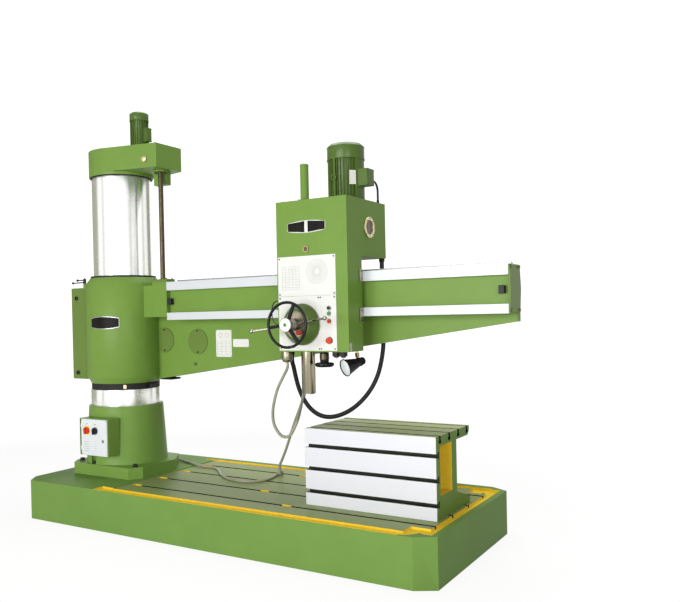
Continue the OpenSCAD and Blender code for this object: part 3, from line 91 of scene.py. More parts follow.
# A number, vector or colour is set on the socket, and a node's output is linked to it
def feed(tree, value, socket):
    if isinstance(value, (int, float, tuple)):
        socket.default_value = value
    else:
        tree.links.new(value, socket)


def maths(tree, how, a, b):
    made = addNode(tree, "ShaderNodeMath", operation=how)
    feed(tree, a, made.inputs[0])
    feed(tree, b, made.inputs[1])
    return made.outputs[0]


def vectors(tree, how, a, b):
    made = addNode(tree, "ShaderNodeVectorMath", operation=how)
    feed(tree, a, made.inputs[0])
    feed(tree, b, made.inputs[1])
    return made.outputs[0]


def mixed(tree, share, a, b, kind="RGBA"):
    made = addNode(tree, "ShaderNodeMix", data_type=kind)
    first, result = (6, 2) if kind == "RGBA" else (2, 0)  # where each kind has its sockets
    feed(tree, share, made.inputs[0])
    feed(tree, a, made.inputs[first])
    feed(tree, b, made.inputs[first + 1])
    return made.outputs[result]


def ranged(tree, value, low, high, toLow=0.0, toHigh=1.0, **values):
    made = addNode(tree, "ShaderNodeMapRange", **values)
    feed(tree, value, made.inputs["Value"])
    feed(tree, low, made.inputs["From Min"])
    feed(tree, high, made.inputs["From Max"])
    feed(tree, toLow, made.inputs["To Min"])
    feed(tree, toHigh, made.inputs["To Max"])
    return made.outputs[0]


def objectPlace(tree):
    return addNode(tree, "ShaderNodeTexCoord").outputs["Object"]


def clouds(tree, where, scale, detail, roughness=0.5):
    made = addNode(tree, "ShaderNodeTexNoise", {"Detail": detail, "Roughness": roughness})
    feed(tree, where, made.inputs["Vector"])
    feed(tree, scale, made.inputs["Scale"])
    return made.outputs["Fac"]


def bumped(tree, height, depth):
    made = addNode(tree, "ShaderNodeBump")
    feed(tree, height, made.inputs["Height"])
    feed(tree, depth, made.inputs["Distance"])
    return made.outputs["Normal"]


def shaderGroup(name, inputs, outputs):
    tree = bpy.data.node_groups.new(name, "ShaderNodeTree")
    for label, kind, value in inputs:
        socket = tree.interface.new_socket(label, in_out="INPUT", socket_type=kind)
        socket.default_value = value
    for label, kind in outputs:
        tree.interface.new_socket(label, in_out="OUTPUT", socket_type=kind)
    return tree, addNode(tree, "NodeGroupInput").outputs, addNode(tree, "NodeGroupOutput").inputs


def rgb(red, green, blue):
    return (red, green, blue, 1.0)


colour, number, vector = "NodeSocketColor", "NodeSocketFloat", "NodeSocketVector"
white = rgb(1, 1, 1)

# Two close colours that wander over the surface
mottle, ins, outs = shaderGroup(
    "paintMottle", [("First", colour, white), ("Second", colour, white), ("Scale", number, 3.0)],
    [("Colour", colour), ("Mask", number)])
cloud = clouds(mottle, objectPlace(mottle), ins["Scale"], 6, 0.62)
mask = ranged(mottle, cloud, 0.32, 0.68)
feed(mottle, mixed(mottle, mask, ins["First"], ins["Second"]), outs["Colour"])
feed(mottle, mask, outs["Mask"])

# The faint skin of sprayed enamel, cast iron or moulded plastic
skin, ins, outs = shaderGroup(
    "fineSkin", [("Scale", number, 200.0), ("Depth", number, 0.0002)], [("Normal", vector)])
cloud = clouds(skin, objectPlace(skin), ins["Scale"], 3)
feed(skin, bumped(skin, cloud, ins["Depth"]), outs["Normal"])

# Grinding and turning marks, and on the quill painted reflection streaks: noise drawn out along one way
grain, ins, outs = shaderGroup(
    "grindingMarks", [("Stretch", vector, (1, 1, 1)), ("Depth", number, 0.00004)],
    [("Mask", number), ("Normal", vector)])
drawn = vectors(grain, "MULTIPLY", objectPlace(grain), ins["Stretch"])
cloud = clouds(grain, drawn, 1, 4)
feed(grain, cloud, outs["Mask"])
feed(grain, bumped(grain, cloud, ins["Depth"]), outs["Normal"])

# 1 inside a box that is given by two corners
inBox, ins, outs = shaderGroup(
    "insideBox", [("Low", vector, (0, 0, 0)), ("High", vector, (1, 1, 1))], [("Mask", number)])
where = objectPlace(inBox)
above = vectors(inBox, "SUBTRACT", where, ins["Low"])
below = vectors(inBox, "SUBTRACT", ins["High"], where)
parts = addNode(inBox, "ShaderNodeSeparateXYZ")
feed(inBox, vectors(inBox, "MINIMUM", above, below), parts.inputs[0])
least = maths(inBox, "MINIMUM", parts.outputs[0], parts.outputs[1])
least = maths(inBox, "MINIMUM", least, parts.outputs[2])
feed(inBox, maths(inBox, "GREATER_THAN", least, 0.0), outs["Mask"])

# Soft dust that settles between two heights
dust, ins, outs = shaderGroup(
    "settledDust", [("Low", number, 0.0), ("High", number, 0.3)], [("Mask", number)])
where = objectPlace(dust)
parts = addNode(dust, "ShaderNodeSeparateXYZ")
feed(dust, where, parts.inputs[0])
fall = ranged(dust, parts.outputs[2], ins["Low"], ins["High"], 1, 0, interpolation_type="SMOOTHSTEP")
feed(dust, maths(dust, "MULTIPLY", fall, clouds(dust, where, 7, 8)), outs["Mask"])
print("shader groups built")

# Finishes


def startFinish(name, **sockets):
    finish = bpy.data.materials.new(name)
    finish.use_nodes = True
    shader = finish.node_tree.nodes["Principled BSDF"]
    for key, value in sockets.items():
        shader.inputs[key.replace("_", " ")].default_value = value
    return finish, finish.node_tree, shader


def place(tree, group, **values):
    return addNode(tree, "ShaderNodeGroup", values, node_tree=group)


def enamel(name, first, second, roughness=0.42, dusty=None, coat=0.04):
    finish, tree, shader = startFinish(
        name, Roughness=roughness, Specular_IOR_Level=0.15, Coat_Weight=coat, Coat_Roughness=0.22)
    tone = place(tree, mottle, First=first, Second=second, Scale=2.6).outputs["Colour"]
    peel = place(tree, skin, Scale=260.0, Depth=0.00025)
    if dusty:
        low = place(tree, dust, Low=dusty[0], High=dusty[1]).outputs["Mask"]
        tone = mixed(tree, maths(tree, "MULTIPLY", low, 0.5), tone, rgb(0.20, 0.22, 0.12))
    feed(tree, tone, shader.inputs["Base Color"])
    feed(tree, peel.outputs["Normal"], shader.inputs["Normal"])
    return finish


def moulded(name, first, second, roughness, scale=420.0, depth=0.00012, coat=0.0, gloss=0.18):
    finish, tree, shader = startFinish(name, Coat_Weight=coat, Specular_IOR_Level=gloss)
    mix = place(tree, mottle, First=first, Second=second, Scale=9.0)
    pores = place(tree, skin, Scale=scale, Depth=depth)
    level = ranged(tree, mix.outputs["Mask"], 0.0, 1.0, roughness - 0.05, roughness + 0.06)
    feed(tree, mix.outputs["Colour"], shader.inputs["Base Color"])
    feed(tree, level, shader.inputs["Roughness"])
    feed(tree, pores.outputs["Normal"], shader.inputs["Normal"])
    return finish


def worked(name, first, second, stretch, roughness, spread=0.08, depth=0.00003, metal=1.0):
    finish, tree, shader = startFinish(name, Metallic=metal)
    marks = place(tree, grain, Stretch=stretch, Depth=depth)
    level = ranged(tree, marks.outputs["Mask"], 0.3, 0.7, roughness - spread, roughness + spread)
    feed(tree, mixed(tree, marks.outputs["Mask"], first, second), shader.inputs["Base Color"])
    feed(tree, level, shader.inputs["Roughness"])
    feed(tree, marks.outputs["Normal"], shader.inputs["Normal"])
    return finish


# Grinding marks that run round the column's axis spread reflections along it
def brushAround(finish):
    tree = finish.node_tree
    shader = tree.nodes["Principled BSDF"]
    shader.inputs["Anisotropic"].default_value = 0.85
    shader.inputs["Anisotropic Rotation"].default_value = 0.25  # a quarter turn
    around = vectors(tree, "CROSS_PRODUCT", (0, 0, 1), objectPlace(tree))
    swung = addNode(tree, "ShaderNodeVectorTransform", vector_type="VECTOR", convert_from="OBJECT",
                    convert_to="WORLD")
    feed(tree, around, swung.inputs[0])
    feed(tree, swung.outputs[0], shader.inputs["Tangent"])


leafGreen = enamel("leafGreen", rgb(0.182, 0.314, 0.058), rgb(0.169, 0.294, 0.053))
coverGreen = enamel("coverGreen", rgb(0.150, 0.236, 0.050), rgb(0.138, 0.220, 0.046))
# a lighter copy of leafGreen for the pedestal: painted light, with dust darker towards the floor
leafGreenFootLit = enamel("leafGreenFootLit", rgb(0.190, 0.330, 0.066), rgb(0.176, 0.308, 0.060),
                       dusty=(0.0, 0.25))
motorGreen = enamel("motorGreen", rgb(0.092, 0.162, 0.027), rgb(0.078, 0.142, 0.023), roughness=0.36,
                    coat=0.2)
whitePaint = moulded("whitePaint", rgb(0.84, 0.84, 0.80), rgb(0.80, 0.80, 0.76), 0.36, coat=0.1)
doorPaint = moulded("doorPaint", rgb(0.78, 0.82, 0.83), rgb(0.74, 0.78, 0.80), 0.36, coat=0.1)
yellowPaint = moulded("yellowPaint", rgb(0.90, 0.64, 0.04), rgb(0.82, 0.57, 0.04), 0.45)
blackPlastic = moulded("blackPlastic", rgb(0.016, 0.016, 0.017), rgb(0.026, 0.026, 0.027), 0.40)
wheelBlack = moulded("wheelBlack", rgb(0.010, 0.010, 0.011), rgb(0.018, 0.018, 0.019), 0.24, depth=0.00006,
                     coat=0.08, gloss=0.10)
sealRubber = moulded("sealRubber", rgb(0.012, 0.012, 0.012), rgb(0.024, 0.023, 0.022), 0.58, scale=300.0)
hoseBlack = moulded("hoseBlack", rgb(0.012, 0.012, 0.013), rgb(0.022, 0.022, 0.022), 0.36, scale=160.0,
                    depth=0.0003)
hoseGrey = moulded("hoseGrey", rgb(0.34, 0.34, 0.25), rgb(0.28, 0.28, 0.20), 0.36, scale=160.0,
                   depth=0.00003, coat=0.2)
signalRed = moulded("signalRed", rgb(0.72, 0.055, 0.022), rgb(0.64, 0.042, 0.018), 0.28, coat=0.3)
signalGreen = moulded("signalGreen", rgb(0.03, 0.34, 0.07), rgb(0.02, 0.28, 0.05), 0.28, coat=0.3)
plateDark = moulded("plateDark", rgb(0.011, 0.010, 0.009), rgb(0.018, 0.016, 0.014), 0.34, gloss=0.05)
inkGrey = moulded("inkGrey", rgb(0.34, 0.35, 0.33), rgb(0.29, 0.30, 0.29), 0.5)
lensWhite = moulded("lensWhite", rgb(0.82, 0.86, 0.88), rgb(0.76, 0.81, 0.84), 0.18, scale=90.0,
                    depth=0.0006, coat=0.5)
sightGlass = moulded("sightGlass", rgb(0.10, 0.065, 0.030), rgb(0.16, 0.11, 0.05), 0.12, coat=0.6)
columnSteel = worked("columnSteel", rgb(0.93, 0.93, 0.92), rgb(0.88, 0.88, 0.86), (2.5, 2.5, 60), 0.26,
                     0.02, 0.000002, metal=0.82)
brushAround(columnSteel)
railSteel = worked("railSteel", rgb(0.67, 0.69, 0.71), rgb(0.62, 0.64, 0.67), (3, 320, 320), 0.46,
                   metal=0.2)
turnedSteel = worked("turnedSteel", rgb(0.30, 0.27, 0.19), rgb(0.22, 0.20, 0.14), (6, 6, 420), 0.30, 0.06)
# the quill's light and dark streaks along its axis are painted reflections
quillPaintedStreaks = worked("quillPaintedStreaks", rgb(0.50, 0.46, 0.34), rgb(0.09, 0.08, 0.05), (34, 34, 0.3), 0.22, 0.05,
                    0.00001)
polishedSteel = worked("polishedSteel", rgb(0.36, 0.34, 0.28), rgb(0.27, 0.25, 0.20), (90, 90, 90), 0.12,
                       0.04, 0.00001)
dullSteel = worked("dullSteel", rgb(0.42, 0.41, 0.35), rgb(0.33, 0.32, 0.27), (120, 120, 120), 0.36)
gearSteel = worked("gearSteel", rgb(0.36, 0.36, 0.36), rgb(0.26, 0.26, 0.26), (60, 60, 240), 0.36)
blackSteel = worked("blackSteel", rgb(0.060, 0.058, 0.055), rgb(0.035, 0.034, 0.032), (70, 70, 70), 0.42)
oiledThread = worked("oiledThread", rgb(0.10, 0.082, 0.048), rgb(0.055, 0.045, 0.027), (40, 40, 40), 0.34)
paleBrass = worked("paleBrass", rgb(0.72, 0.64, 0.42), rgb(0.60, 0.52, 0.33), (60, 60, 60), 0.28)
brass = worked("brass", rgb(0.40, 0.33, 0.17), rgb(0.31, 0.25, 0.12), (40, 40, 260), 0.26)


# A casting that is painted in some places and machined or painted another colour in others
def castFinish(name, zones, paint, paintTwo):
    finish, tree, shader = startFinish(name, Specular_IOR_Level=0.05)
    tone = place(tree, mottle, First=paint, Second=paintTwo, Scale=2.6).outputs["Colour"]
    metal, rough = 0.0, 0.44
    for zone in zones:
        masks = [place(tree, inBox, Low=low, High=high).outputs["Mask"] for low, high in zone["boxes"]]
        mask = masks[0]
        for more in masks[1:]:
            mask = maths(tree, "MAXIMUM", mask, more)
        marks = place(tree, grain, Stretch=zone["stretch"], Depth=0.00003).outputs["Mask"]
        tone = mixed(tree, mask, tone, mixed(tree, marks, zone["first"], zone["second"]))
        metal = mixed(tree, mask, metal, zone["metal"], "FLOAT")
        rough = mixed(tree, mask, rough, zone["rough"], "FLOAT")
    peel = place(tree, skin, Scale=240.0, Depth=0.0002)
    feed(tree, tone, shader.inputs["Base Color"])
    feed(tree, metal, shader.inputs["Metallic"])
    feed(tree, rough, shader.inputs["Roughness"])
    feed(tree, peel.outputs["Normal"], shader.inputs["Normal"])
    return finish


machinedTop = {"first": rgb(0.300, 0.365, 0.145), "second": rgb(0.260, 0.315, 0.122),
               "metal": 0.12, "rough": 0.38, "stretch": (4, 120, 4)}
gutterYellow = {"first": rgb(0.96, 0.70, 0.045), "second": rgb(0.90, 0.64, 0.045),
                "metal": 0.0, "rough": 0.45, "stretch": (9, 9, 9)}
# near-black slot walls: painted shade in the T-slots' recesses
slotPaintedShade = {"first": rgb(0.022, 0.024, 0.018), "second": rgb(0.034, 0.036, 0.026),
            "metal": 0.3, "rough": 0.5, "stretch": (9, 90, 90)}
groundFront = {"first": rgb(0.73, 0.74, 0.785), "second": rgb(0.68, 0.69, 0.74),
               "metal": 0.15, "rough": 0.46, "stretch": (3, 260, 260)}

# T-slots of the base and the box table, and the wider pockets where tools enter them
half = 0.0305  # of a slot's width
baseSlots = {"from": 0.699, "to": 4.2940, "ys": (-0.6, -0.2, 0.2, 0.6), "pocketHalf": 0.0555,
             "startX": 0.755, "pockets": [(2.191, -0.2), (2.737, -0.6), (2.150, 0.6)]}
tableSlots = {"from": 2.8895, "to": 4.2555, "ys": [-0.3705 + 0.22 * k for k in range(4)],
              "zs": [1.008 - 0.219 * k for k in range(3)]}
pockets = [(baseSlots["startX"], y) for y in baseSlots["ys"]] + baseSlots["pockets"]
reach = baseSlots["pocketHalf"]
baseZones = [
    {**machinedTop, "boxes": [((0.641, -0.844, 0.431), (4.296, 0.851, 0.433))]},
    {**gutterYellow, "boxes": [
        ((0.47, -0.9755, 0.4085), (4.1065, -0.8445, 0.4392)),
        ((0.47, 0.8495, 0.4085), (4.32, 0.9105, 0.4392)),
        ((0.485, -0.9970, 0.4385), (4.12, -0.9700, 0.4412)),
        ((4.1050, -0.9755, 0.4085), (4.2680, -0.8785, 0.4312)),
        ((4.2945, -0.8805, 0.4085), (4.3805, 0.86, 0.4392)),
        ((4.1055, -0.8805, 0.4085), (4.3805, -0.6895, 0.4392)),
        ((4.1055, 0.6895, 0.4085), (4.3805, 0.8805, 0.4392))]},
    {**slotPaintedShade, "boxes": [((baseSlots["from"], y - half, 0.36), (baseSlots["to"], y + half, 0.4314))
                           for y in baseSlots["ys"]]},
    {**gutterYellow,
     "boxes": [((x - reach, y - half, 0.36), (x + reach, y + half, 0.4325)) for x, y in pockets]},
]
start, stop = tableSlots["from"], tableSlots["to"]
topSlots = [((start, y - half, 1.107), (stop, y + half, 1.1732)) for y in tableSlots["ys"]]
frontSlots = [((start, -0.4612, z - half), (stop, -0.3945, z + half)) for z in tableSlots["zs"]]
tableZones = [
    {**groundFront, "boxes": [((2.88, -0.4625, 0.43), (4.26, -0.4615, 1.175))]},
    # the table's top takes a much lighter copy of the machined colour: painted light and sheen on its top
    # face
    {**machinedTop, "first": rgb(0.62, 0.69, 0.40), "second": rgb(0.55, 0.61, 0.34),
     "boxes": [((2.88, -0.463, 1.1735), (4.26, 0.354, 1.175))]},
    {**slotPaintedShade, "boxes": topSlots + frontSlots},
    {**gutterYellow, "boxes": [((start, -0.3755, 0.6415), (stop, -0.0995, 1.0845))]},
]
basePaint = castFinish("baseCasting", baseZones, rgb(0.178, 0.310, 0.072), rgb(0.164, 0.290, 0.066))
tablePaint = castFinish("tableCasting", tableZones, rgb(0.178, 0.296, 0.066), rgb(0.160, 0.272, 0.058))
print("finishes built")

# Which finish each solid of the frame takes, and how wide its broken edges are
nodeFinish = {
    "base": basePaint, "box_table": tablePaint, "pedestal": leafGreenFootLit, "electric_box": leafGreen,
    "pedestal_bolts": blackSteel, "inner_column": gearSteel, "cabinet_door": doorPaint,
    "main_switch": signalRed, "selector_knob": blackPlastic, "table_bolts": blackSteel,
    "base_hose_fittings": hoseGrey, "outer_column": columnSteel, "column_bearings": brass,
    "top_cap": leafGreen, "lift_motor": motorGreen, "screw_bearing": leafGreen, "lift_screw": oiledThread,
    "lift_idler_gear": gearSteel, "lift_motor_pinion": gearSteel, "arm_casting": leafGreen,
    "guide_rails": railSteel, "traverse_rack": gearSteel, "rail_stops": blackPlastic,
    "arm_end_plate": coverGreen, "sleeve_wipers": sealRubber, "clamp_housing": coverGreen,
    "lift_nut": coverGreen, "upper_clamp_lever": blackPlastic, "lower_clamp_lever": blackPlastic,
    "head_casing": leafGreen, "main_motor": motorGreen, "spindle_guard_tube": leafGreen,
    "speed_panel": whitePaint, "control_panel": whitePaint, "feed_housing": motorGreen,
    "hose_fitting": turnedSteel, "head_glands": blackPlastic, "traverse_pinion": gearSteel,
    "quill": quillPaintedStreaks, "spindle": gearSteel, "spindle_gear": gearSteel, "idler_gear": gearSteel,
    "motor_pinion": gearSteel, "feed_levers": polishedSteel, "counter_shaft": gearSteel,
    "handwheel": wheelBlack, "hub_button": signalGreen, "fine_feed_wheel": wheelBlack,
    "black_button": blackPlastic, "green_button": signalGreen, "red_button": signalRed,
    "stop_button": signalRed, "lamp_bracket": brass, "lamp": wheelBlack,
}
edgeWidth = {
    "base": 0.006, "pedestal": 0.010, "electric_box": 0.004, "cabinet_door": 0.003, "box_table": 0.0025,
    "top_cap": 0.006, "arm_casting": 0.006, "arm_end_plate": 0.004, "clamp_housing": 0.008,
    "head_casing": 0.006, "lift_nut": 0.004, "screw_bearing": 0.004, "guide_rails": 0.0015,
    "speed_panel": 0.0012, "control_panel": 0.0012, "feed_housing": 0.005, "lift_motor": 0.0015,
    "main_motor": 0.0018, "spindle_guard_tube": 0.004, "fine_feed_wheel": 0.003, "handwheel": 0.002,
    "stop_button": 0.004, "red_button": 0.002, "green_button": 0.002, "black_button": 0.002,
    "hub_button": 0.002, "main_switch": 0.003, "selector_knob": 0.003, "rail_stops": 0.003, "quill": 0.002,
    "lamp": 0.002, "outer_column": 0.004, "hose_fitting": 0.001, "feed_levers": 0.001,
}


def softEdge(piece, width):
    edge = piece.modifiers.new("edge", "BEVEL")
    edge.width = width
    edge.segments = 2
    edge.limit_method = "ANGLE"
    edge.angle_limit = math.radians(40)


for name, finish in nodeFinish.items():
    solid = nodes[name]
    for spot in solid.material_slots:
        spot.material = finish
    if name in edgeWidth:
        weld = solid.modifiers.new("weld", "WELD")
        weld.merge_threshold = 0.00002
        softEdge(solid, edgeWidth[name])
print("frame dressed")

# Hoses and the motor's cable: the same routes as the solids that they stand for, in metres
hoses = {
    "powerHose": {"node": "power_hose", "body": "head", "finish": hoseBlack, "slot": "black_rubber",
                  "diameter": 0.046, "lay": "hanging", "stiffness": "stiff", "route": (
        (3.332, 0.390, 2.800), (3.332, 0.390, 2.700), (3.333, 0.390, 2.560), (3.334, 0.390, 2.400),
        (3.334, 0.390, 2.240), (3.332, 0.390, 2.080), (3.328, 0.391, 1.920), (3.305, 0.384, 1.770),
        (3.270, 0.370, 1.635), (3.220, 0.335, 1.510), (3.150, 0.280, 1.395), (3.065, 0.205, 1.300),
        (2.975, 0.120, 1.240), (2.885, 0.040, 1.218), (2.795, -0.015, 1.238), (2.712, -0.052, 1.300),
        (2.648, -0.082, 1.395), (2.610, -0.115, 1.510), (2.596, -0.150, 1.630), (2.594, -0.185, 1.740),
        (2.600, -0.220, 1.805), (2.600, -0.220, 1.870))},
    "coolantLoop": {"node": "coolant_hose_loop", "body": "head", "finish": hoseGrey, "slot": "grey_hose",
                    "diameter": 0.030, "lay": "hanging", "stiffness": "medium", "route": (
        (2.620, -0.340, 1.804), (2.620, -0.340, 1.745), (2.568, -0.346, 1.650), (2.513, -0.360, 1.540),
        (2.488, -0.385, 1.425), (2.491, -0.425, 1.310), (2.540, -0.480, 1.200), (2.603, -0.496, 1.118),
        (2.665, -0.502, 1.082), (2.735, -0.500, 1.092), (2.778, -0.494, 1.150), (2.806, -0.460, 1.240),
        (2.710, -0.250, 1.330), (2.668, -0.150, 1.410), (2.665, -0.112, 1.495), (2.683, -0.122, 1.600),
        (2.688, -0.134, 1.720), (2.688, -0.140, 1.810), (2.688, -0.140, 1.870))},
    "coolantDrop": {"node": "coolant_hose_upper", "body": "head", "finish": hoseGrey, "slot": "grey_hose",
                    "diameter": 0.030, "lay": "hanging", "stiffness": "medium", "route": (
        (2.780, -0.140, 1.870), (2.780, -0.140, 1.810), (2.758, -0.135, 1.730), (2.715, -0.080, 1.640),
        (2.645, 0.010, 1.560), (2.550, 0.125, 1.500), (2.445, 0.270, 1.450), (2.345, 0.390, 1.385),
        (2.262, 0.462, 1.300), (2.195, 0.502, 1.200), (2.132, 0.516, 1.080), (2.080, 0.520, 0.960),
        (2.034, 0.520, 0.840), (1.985, 0.520, 0.720), (1.930, 0.520, 0.605), (1.900, 0.520, 0.545),
        (1.900, 0.520, 0.500))},
    "coolantFloor": {"node": "coolant_hose_lower", "body": "frame", "finish": hoseGrey, "slot": "grey_hose",
                     "diameter": 0.030, "lay": "loose", "stiffness": "medium", "route": (
        (0.236, 0.592, 0.466), (0.290, 0.592, 0.466), (0.410, 0.570, 0.458), (0.560, 0.525, 0.456),
        (0.680, 0.480, 0.455), (0.820, 0.462, 0.447), (0.940, 0.465, 0.446), (1.050, 0.420, 0.446),
        (1.160, 0.330, 0.446), (1.290, 0.205, 0.446), (1.440, 0.095, 0.446), (1.590, 0.035, 0.446),
        (1.735, 0.020, 0.446), (1.850, 0.055, 0.446), (1.920, 0.140, 0.446), (1.940, 0.250, 0.446),
        (1.925, 0.360, 0.446), (1.900, 0.440, 0.446), (1.900, 0.490, 0.446))},
    "motorCable": {"node": "motor_cable", "body": "head", "finish": hoseBlack, "slot": "black_rubber",
                   "diameter": 0.022, "lay": "hanging", "stiffness": "medium", "route": (
        (3.360, 0.176, 3.600), (3.360, 0.205, 3.600), (3.359, 0.240, 3.586), (3.357, 0.268, 3.560),
        (3.354, 0.286, 3.525), (3.350, 0.295, 3.480), (3.350, 0.295, 3.425))},
}


def layHose(name, facts):
    curve = bpy.data.curves.new(name, "CURVE")
    curve.dimensions = "3D"
    curve.bevel_depth = facts["diameter"] / 2
    curve.bevel_resolution = 5
    curve.resolution_u = 8
    curve.use_fill_caps = True
    line = curve.splines.new("BEZIER")
    route = [Vector(p) for p in facts["route"]]
    line.bezier_points.add(len(route) - 1)
    for i, spot in enumerate(line.bezier_points):
        before, after = route[max(i - 1, 0)], route[min(i + 1, len(route) - 1)]
        spot.co = route[i]
        spot.handle_left_type = spot.handle_right_type = "FREE"
        way = (after - before).normalized()
        spot.handle_left = route[i] - way * (route[i] - before).length / 3
        spot.handle_right = route[i] + way * (after - route[i]).length / 3
    curve.materials.append(facts["finish"])
    piece = addObject(name, curve)
    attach(piece, facts["body"])
    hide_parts(facts["node"])


for name, facts in hoses.items():
    layHose(name, facts)


# A shape is a function that adds faces to a mesh, followed by its values
def shaped(name, shapes):
    work = bmesh.new()
    for shape, *values in shapes:
        shape(work, *values)
    bmesh.ops.remove_doubles(work, verts=work.verts, dist=0.000005)
    bmesh.ops.recalc_face_normals(work, faces=work.faces)
    mesh = bpy.data.meshes.new(name)
    work.to_mesh(mesh)
    work.free()
    return mesh


def add(name, finish, body, *shapes, edge=0.0, slot=None):
    mesh = shaped(name, shapes)
    mesh.shade_smooth()
    mesh.set_sharp_from_angle(angle=math.radians(35))
    mesh.materials.append(finish)
    piece = addObject(name, mesh)
    if edge:
        softEdge(piece, edge)
    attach(piece, body)


# Frames for faces: u and v along the face, w out of it
def onFront(y):
    return lambda u, v, w: Vector((u, y - w, v))


def onRight(x):
    return lambda u, v, w: Vector((x + w, u, v))


def onLeft(x):
    return lambda u, v, w: Vector((x - w, u, v))


def onTop(z):
    return lambda u, v, w: Vector((u, v, z + w))


def onUnder(z):
    return lambda u, v, w: Vector((u, v, z - w))


def onUpright(foot, way):
    out = Vector((way.y, -way.x, 0))
    return lambda u, v, w: foot + way * u + out * w + Vector((0, 0, v))


def onRound(x, y, turn):
    a = math.radians(turn)
    return onUpright(Vector((x, y, 0)), Vector((-math.sin(a), math.cos(a), 0)))


def onCircle(r, k, steps):
    a = 2 * math.pi * k / steps
    return r * math.cos(a), r * math.sin(a)


def box(u0, u1, v0, v1):
    return [(u0, v0), (u1, v0), (u1, v1), (u0, v1)]


def roundBox(u0, u1, v0, v1, r, steps=5):
    corners = ((u1 - r, v1 - r, 0), (u0 + r, v1 - r, 90), (u0 + r, v0 + r, 180), (u1 - r, v0 + r, 270))
    turns = [(u, v, math.radians(a + 90 * k / steps)) for u, v, a in corners for k in range(steps + 1)]
    return [(u + r * math.cos(a), v + r * math.sin(a)) for u, v, a in turns]


def pairs(us, vs):
    return [(u, v) for u in us for v in vs]


def slab(work, outline, face, low, high):
    foot = [work.verts.new(face(u, v, low)) for u, v in outline]
    head = [work.verts.new(face(u, v, high)) for u, v in outline]
    work.faces.new(foot)
    work.faces.new(list(reversed(head)))
    for i in range(len(outline)):
        j = (i + 1) % len(outline)
        work.faces.new((foot[i], head[i], head[j], foot[j]))


def turned(work, profile, face, u0, v0, steps=48):
    # profile runs from the axis back to the axis as pairs of radius and height
    rings = []
    for r, w in profile:
        spots = [onCircle(r, k, steps) for k in range(steps)] if r > 1e-6 else [(0, 0)]
        rings.append([work.verts.new(face(u0 + u, v0 + v, w)) for u, v in spots])
    for a, b in zip(rings, rings[1:]):
        for k in range(steps):
            n = (k + 1) % steps
            if len(a) == 1 and len(b) == 1:
                continue
            if len(a) == 1:
                work.faces.new((a[0], b[k], b[n]))
            elif len(b) == 1:
                work.faces.new((a[k], a[n], b[0]))
            else:
                work.faces.new((a[k], a[n], b[n], b[k]))


def hoop(work, inner, outer, low, high, face, u0, v0, steps=64):
    section = [(inner, low), (outer, low), (outer, high), (inner, high), (inner, low)]
    turned(work, section, face, u0, v0, steps)


def pipe(work, route, r, steps=10):
    route = [Vector(p) for p in route]
    side = Vector((0.31, 0.2, 0.93))
    rings = []
    for i, p in enumerate(route):
        along = (route[min(i + 1, len(route) - 1)] - route[max(i - 1, 0)]).normalized()
        side = (side - along * side.dot(along)).normalized()
        other = along.cross(side)
        around = [onCircle(1, k, steps) for k in range(steps)]
        rings.append([work.verts.new(p + r * (c * side + s * other)) for c, s in around])
    for a, b in zip(rings, rings[1:]):
        for k in range(steps):
            n = (k + 1) % steps
            work.faces.new((a[k], a[n], b[n], b[k]))
    work.faces.new(rings[0])
    work.faces.new(list(reversed(rings[-1])))


# Fine raised lines: rows run along u and columns along v
def ruled(work, face, facts, low, high):
    (u0, u1), (v0, v1), line = facts["span"], facts["rise"], facts["line"]
    for v in facts["rows"]:
        slab(work, box(u0, u1, v, v + line), face, low, high)
    for u in facts["columns"]:
        slab(work, box(u, u + line, v0, v1), face, low, high + 0.0001)


# Geometry Nodes: screws at given points, and pieces spread round a circle


def nodeTree(name, inputs):
    tree = bpy.data.node_groups.new(name, "GeometryNodeTree")
    tree.interface.new_socket("Geometry", in_out="INPUT", socket_type="NodeSocketGeometry")
    for label, kind in inputs:
        tree.interface.new_socket(label, in_out="INPUT", socket_type=kind)
    tree.interface.new_socket("Geometry", in_out="OUTPUT", socket_type="NodeSocketGeometry")
    return tree, addNode(tree, "NodeGroupInput"), addNode(tree, "NodeGroupOutput")


def closeTree(tree, copies, ins, outs, moved=False):
    real = addNode(tree, "GeometryNodeRealizeInstances")
    dress = addNode(tree, "GeometryNodeSetMaterial")
    feed(tree, copies, real.inputs["Geometry"])
    last = real.outputs["Geometry"]
    if moved:
        shift = addNode(tree, "GeometryNodeTransform")
        feed(tree, last, shift.inputs["Geometry"])
        feed(tree, ins.outputs["Centre"], shift.inputs["Translation"])
        feed(tree, ins.outputs["Turn"], shift.inputs["Rotation"])
        last = shift.outputs["Geometry"]
    feed(tree, last, dress.inputs["Geometry"])
    feed(tree, ins.outputs["Finish"], dress.inputs["Material"])
    feed(tree, dress.outputs["Geometry"], outs.inputs["Geometry"])


# Copies of one piece at each point of a mesh
def spread(tree, mesh, piece, turn):
    spots = addNode(tree, "GeometryNodeMeshToPoints")
    source = addNode(tree, "GeometryNodeObjectInfo")
    copies = addNode(tree, "GeometryNodeInstanceOnPoints")
    feed(tree, mesh, spots.inputs["Mesh"])
    feed(tree, piece, source.inputs["Object"])
    feed(tree, spots.outputs["Points"], copies.inputs["Points"])
    feed(tree, source.outputs["Geometry"], copies.inputs["Instance"])
    feed(tree, turn, copies.inputs["Rotation"])
    return copies.outputs["Instances"]


atPoints, ins, outs = nodeTree("piecesAtPoints", [
    ("Piece", "NodeSocketObject"), ("Turn", "NodeSocketRotation"), ("Finish", "NodeSocketMaterial")])
copies = spread(atPoints, ins.outputs["Geometry"], ins.outputs["Piece"], ins.outputs["Turn"])
closeTree(atPoints, copies, ins, outs)

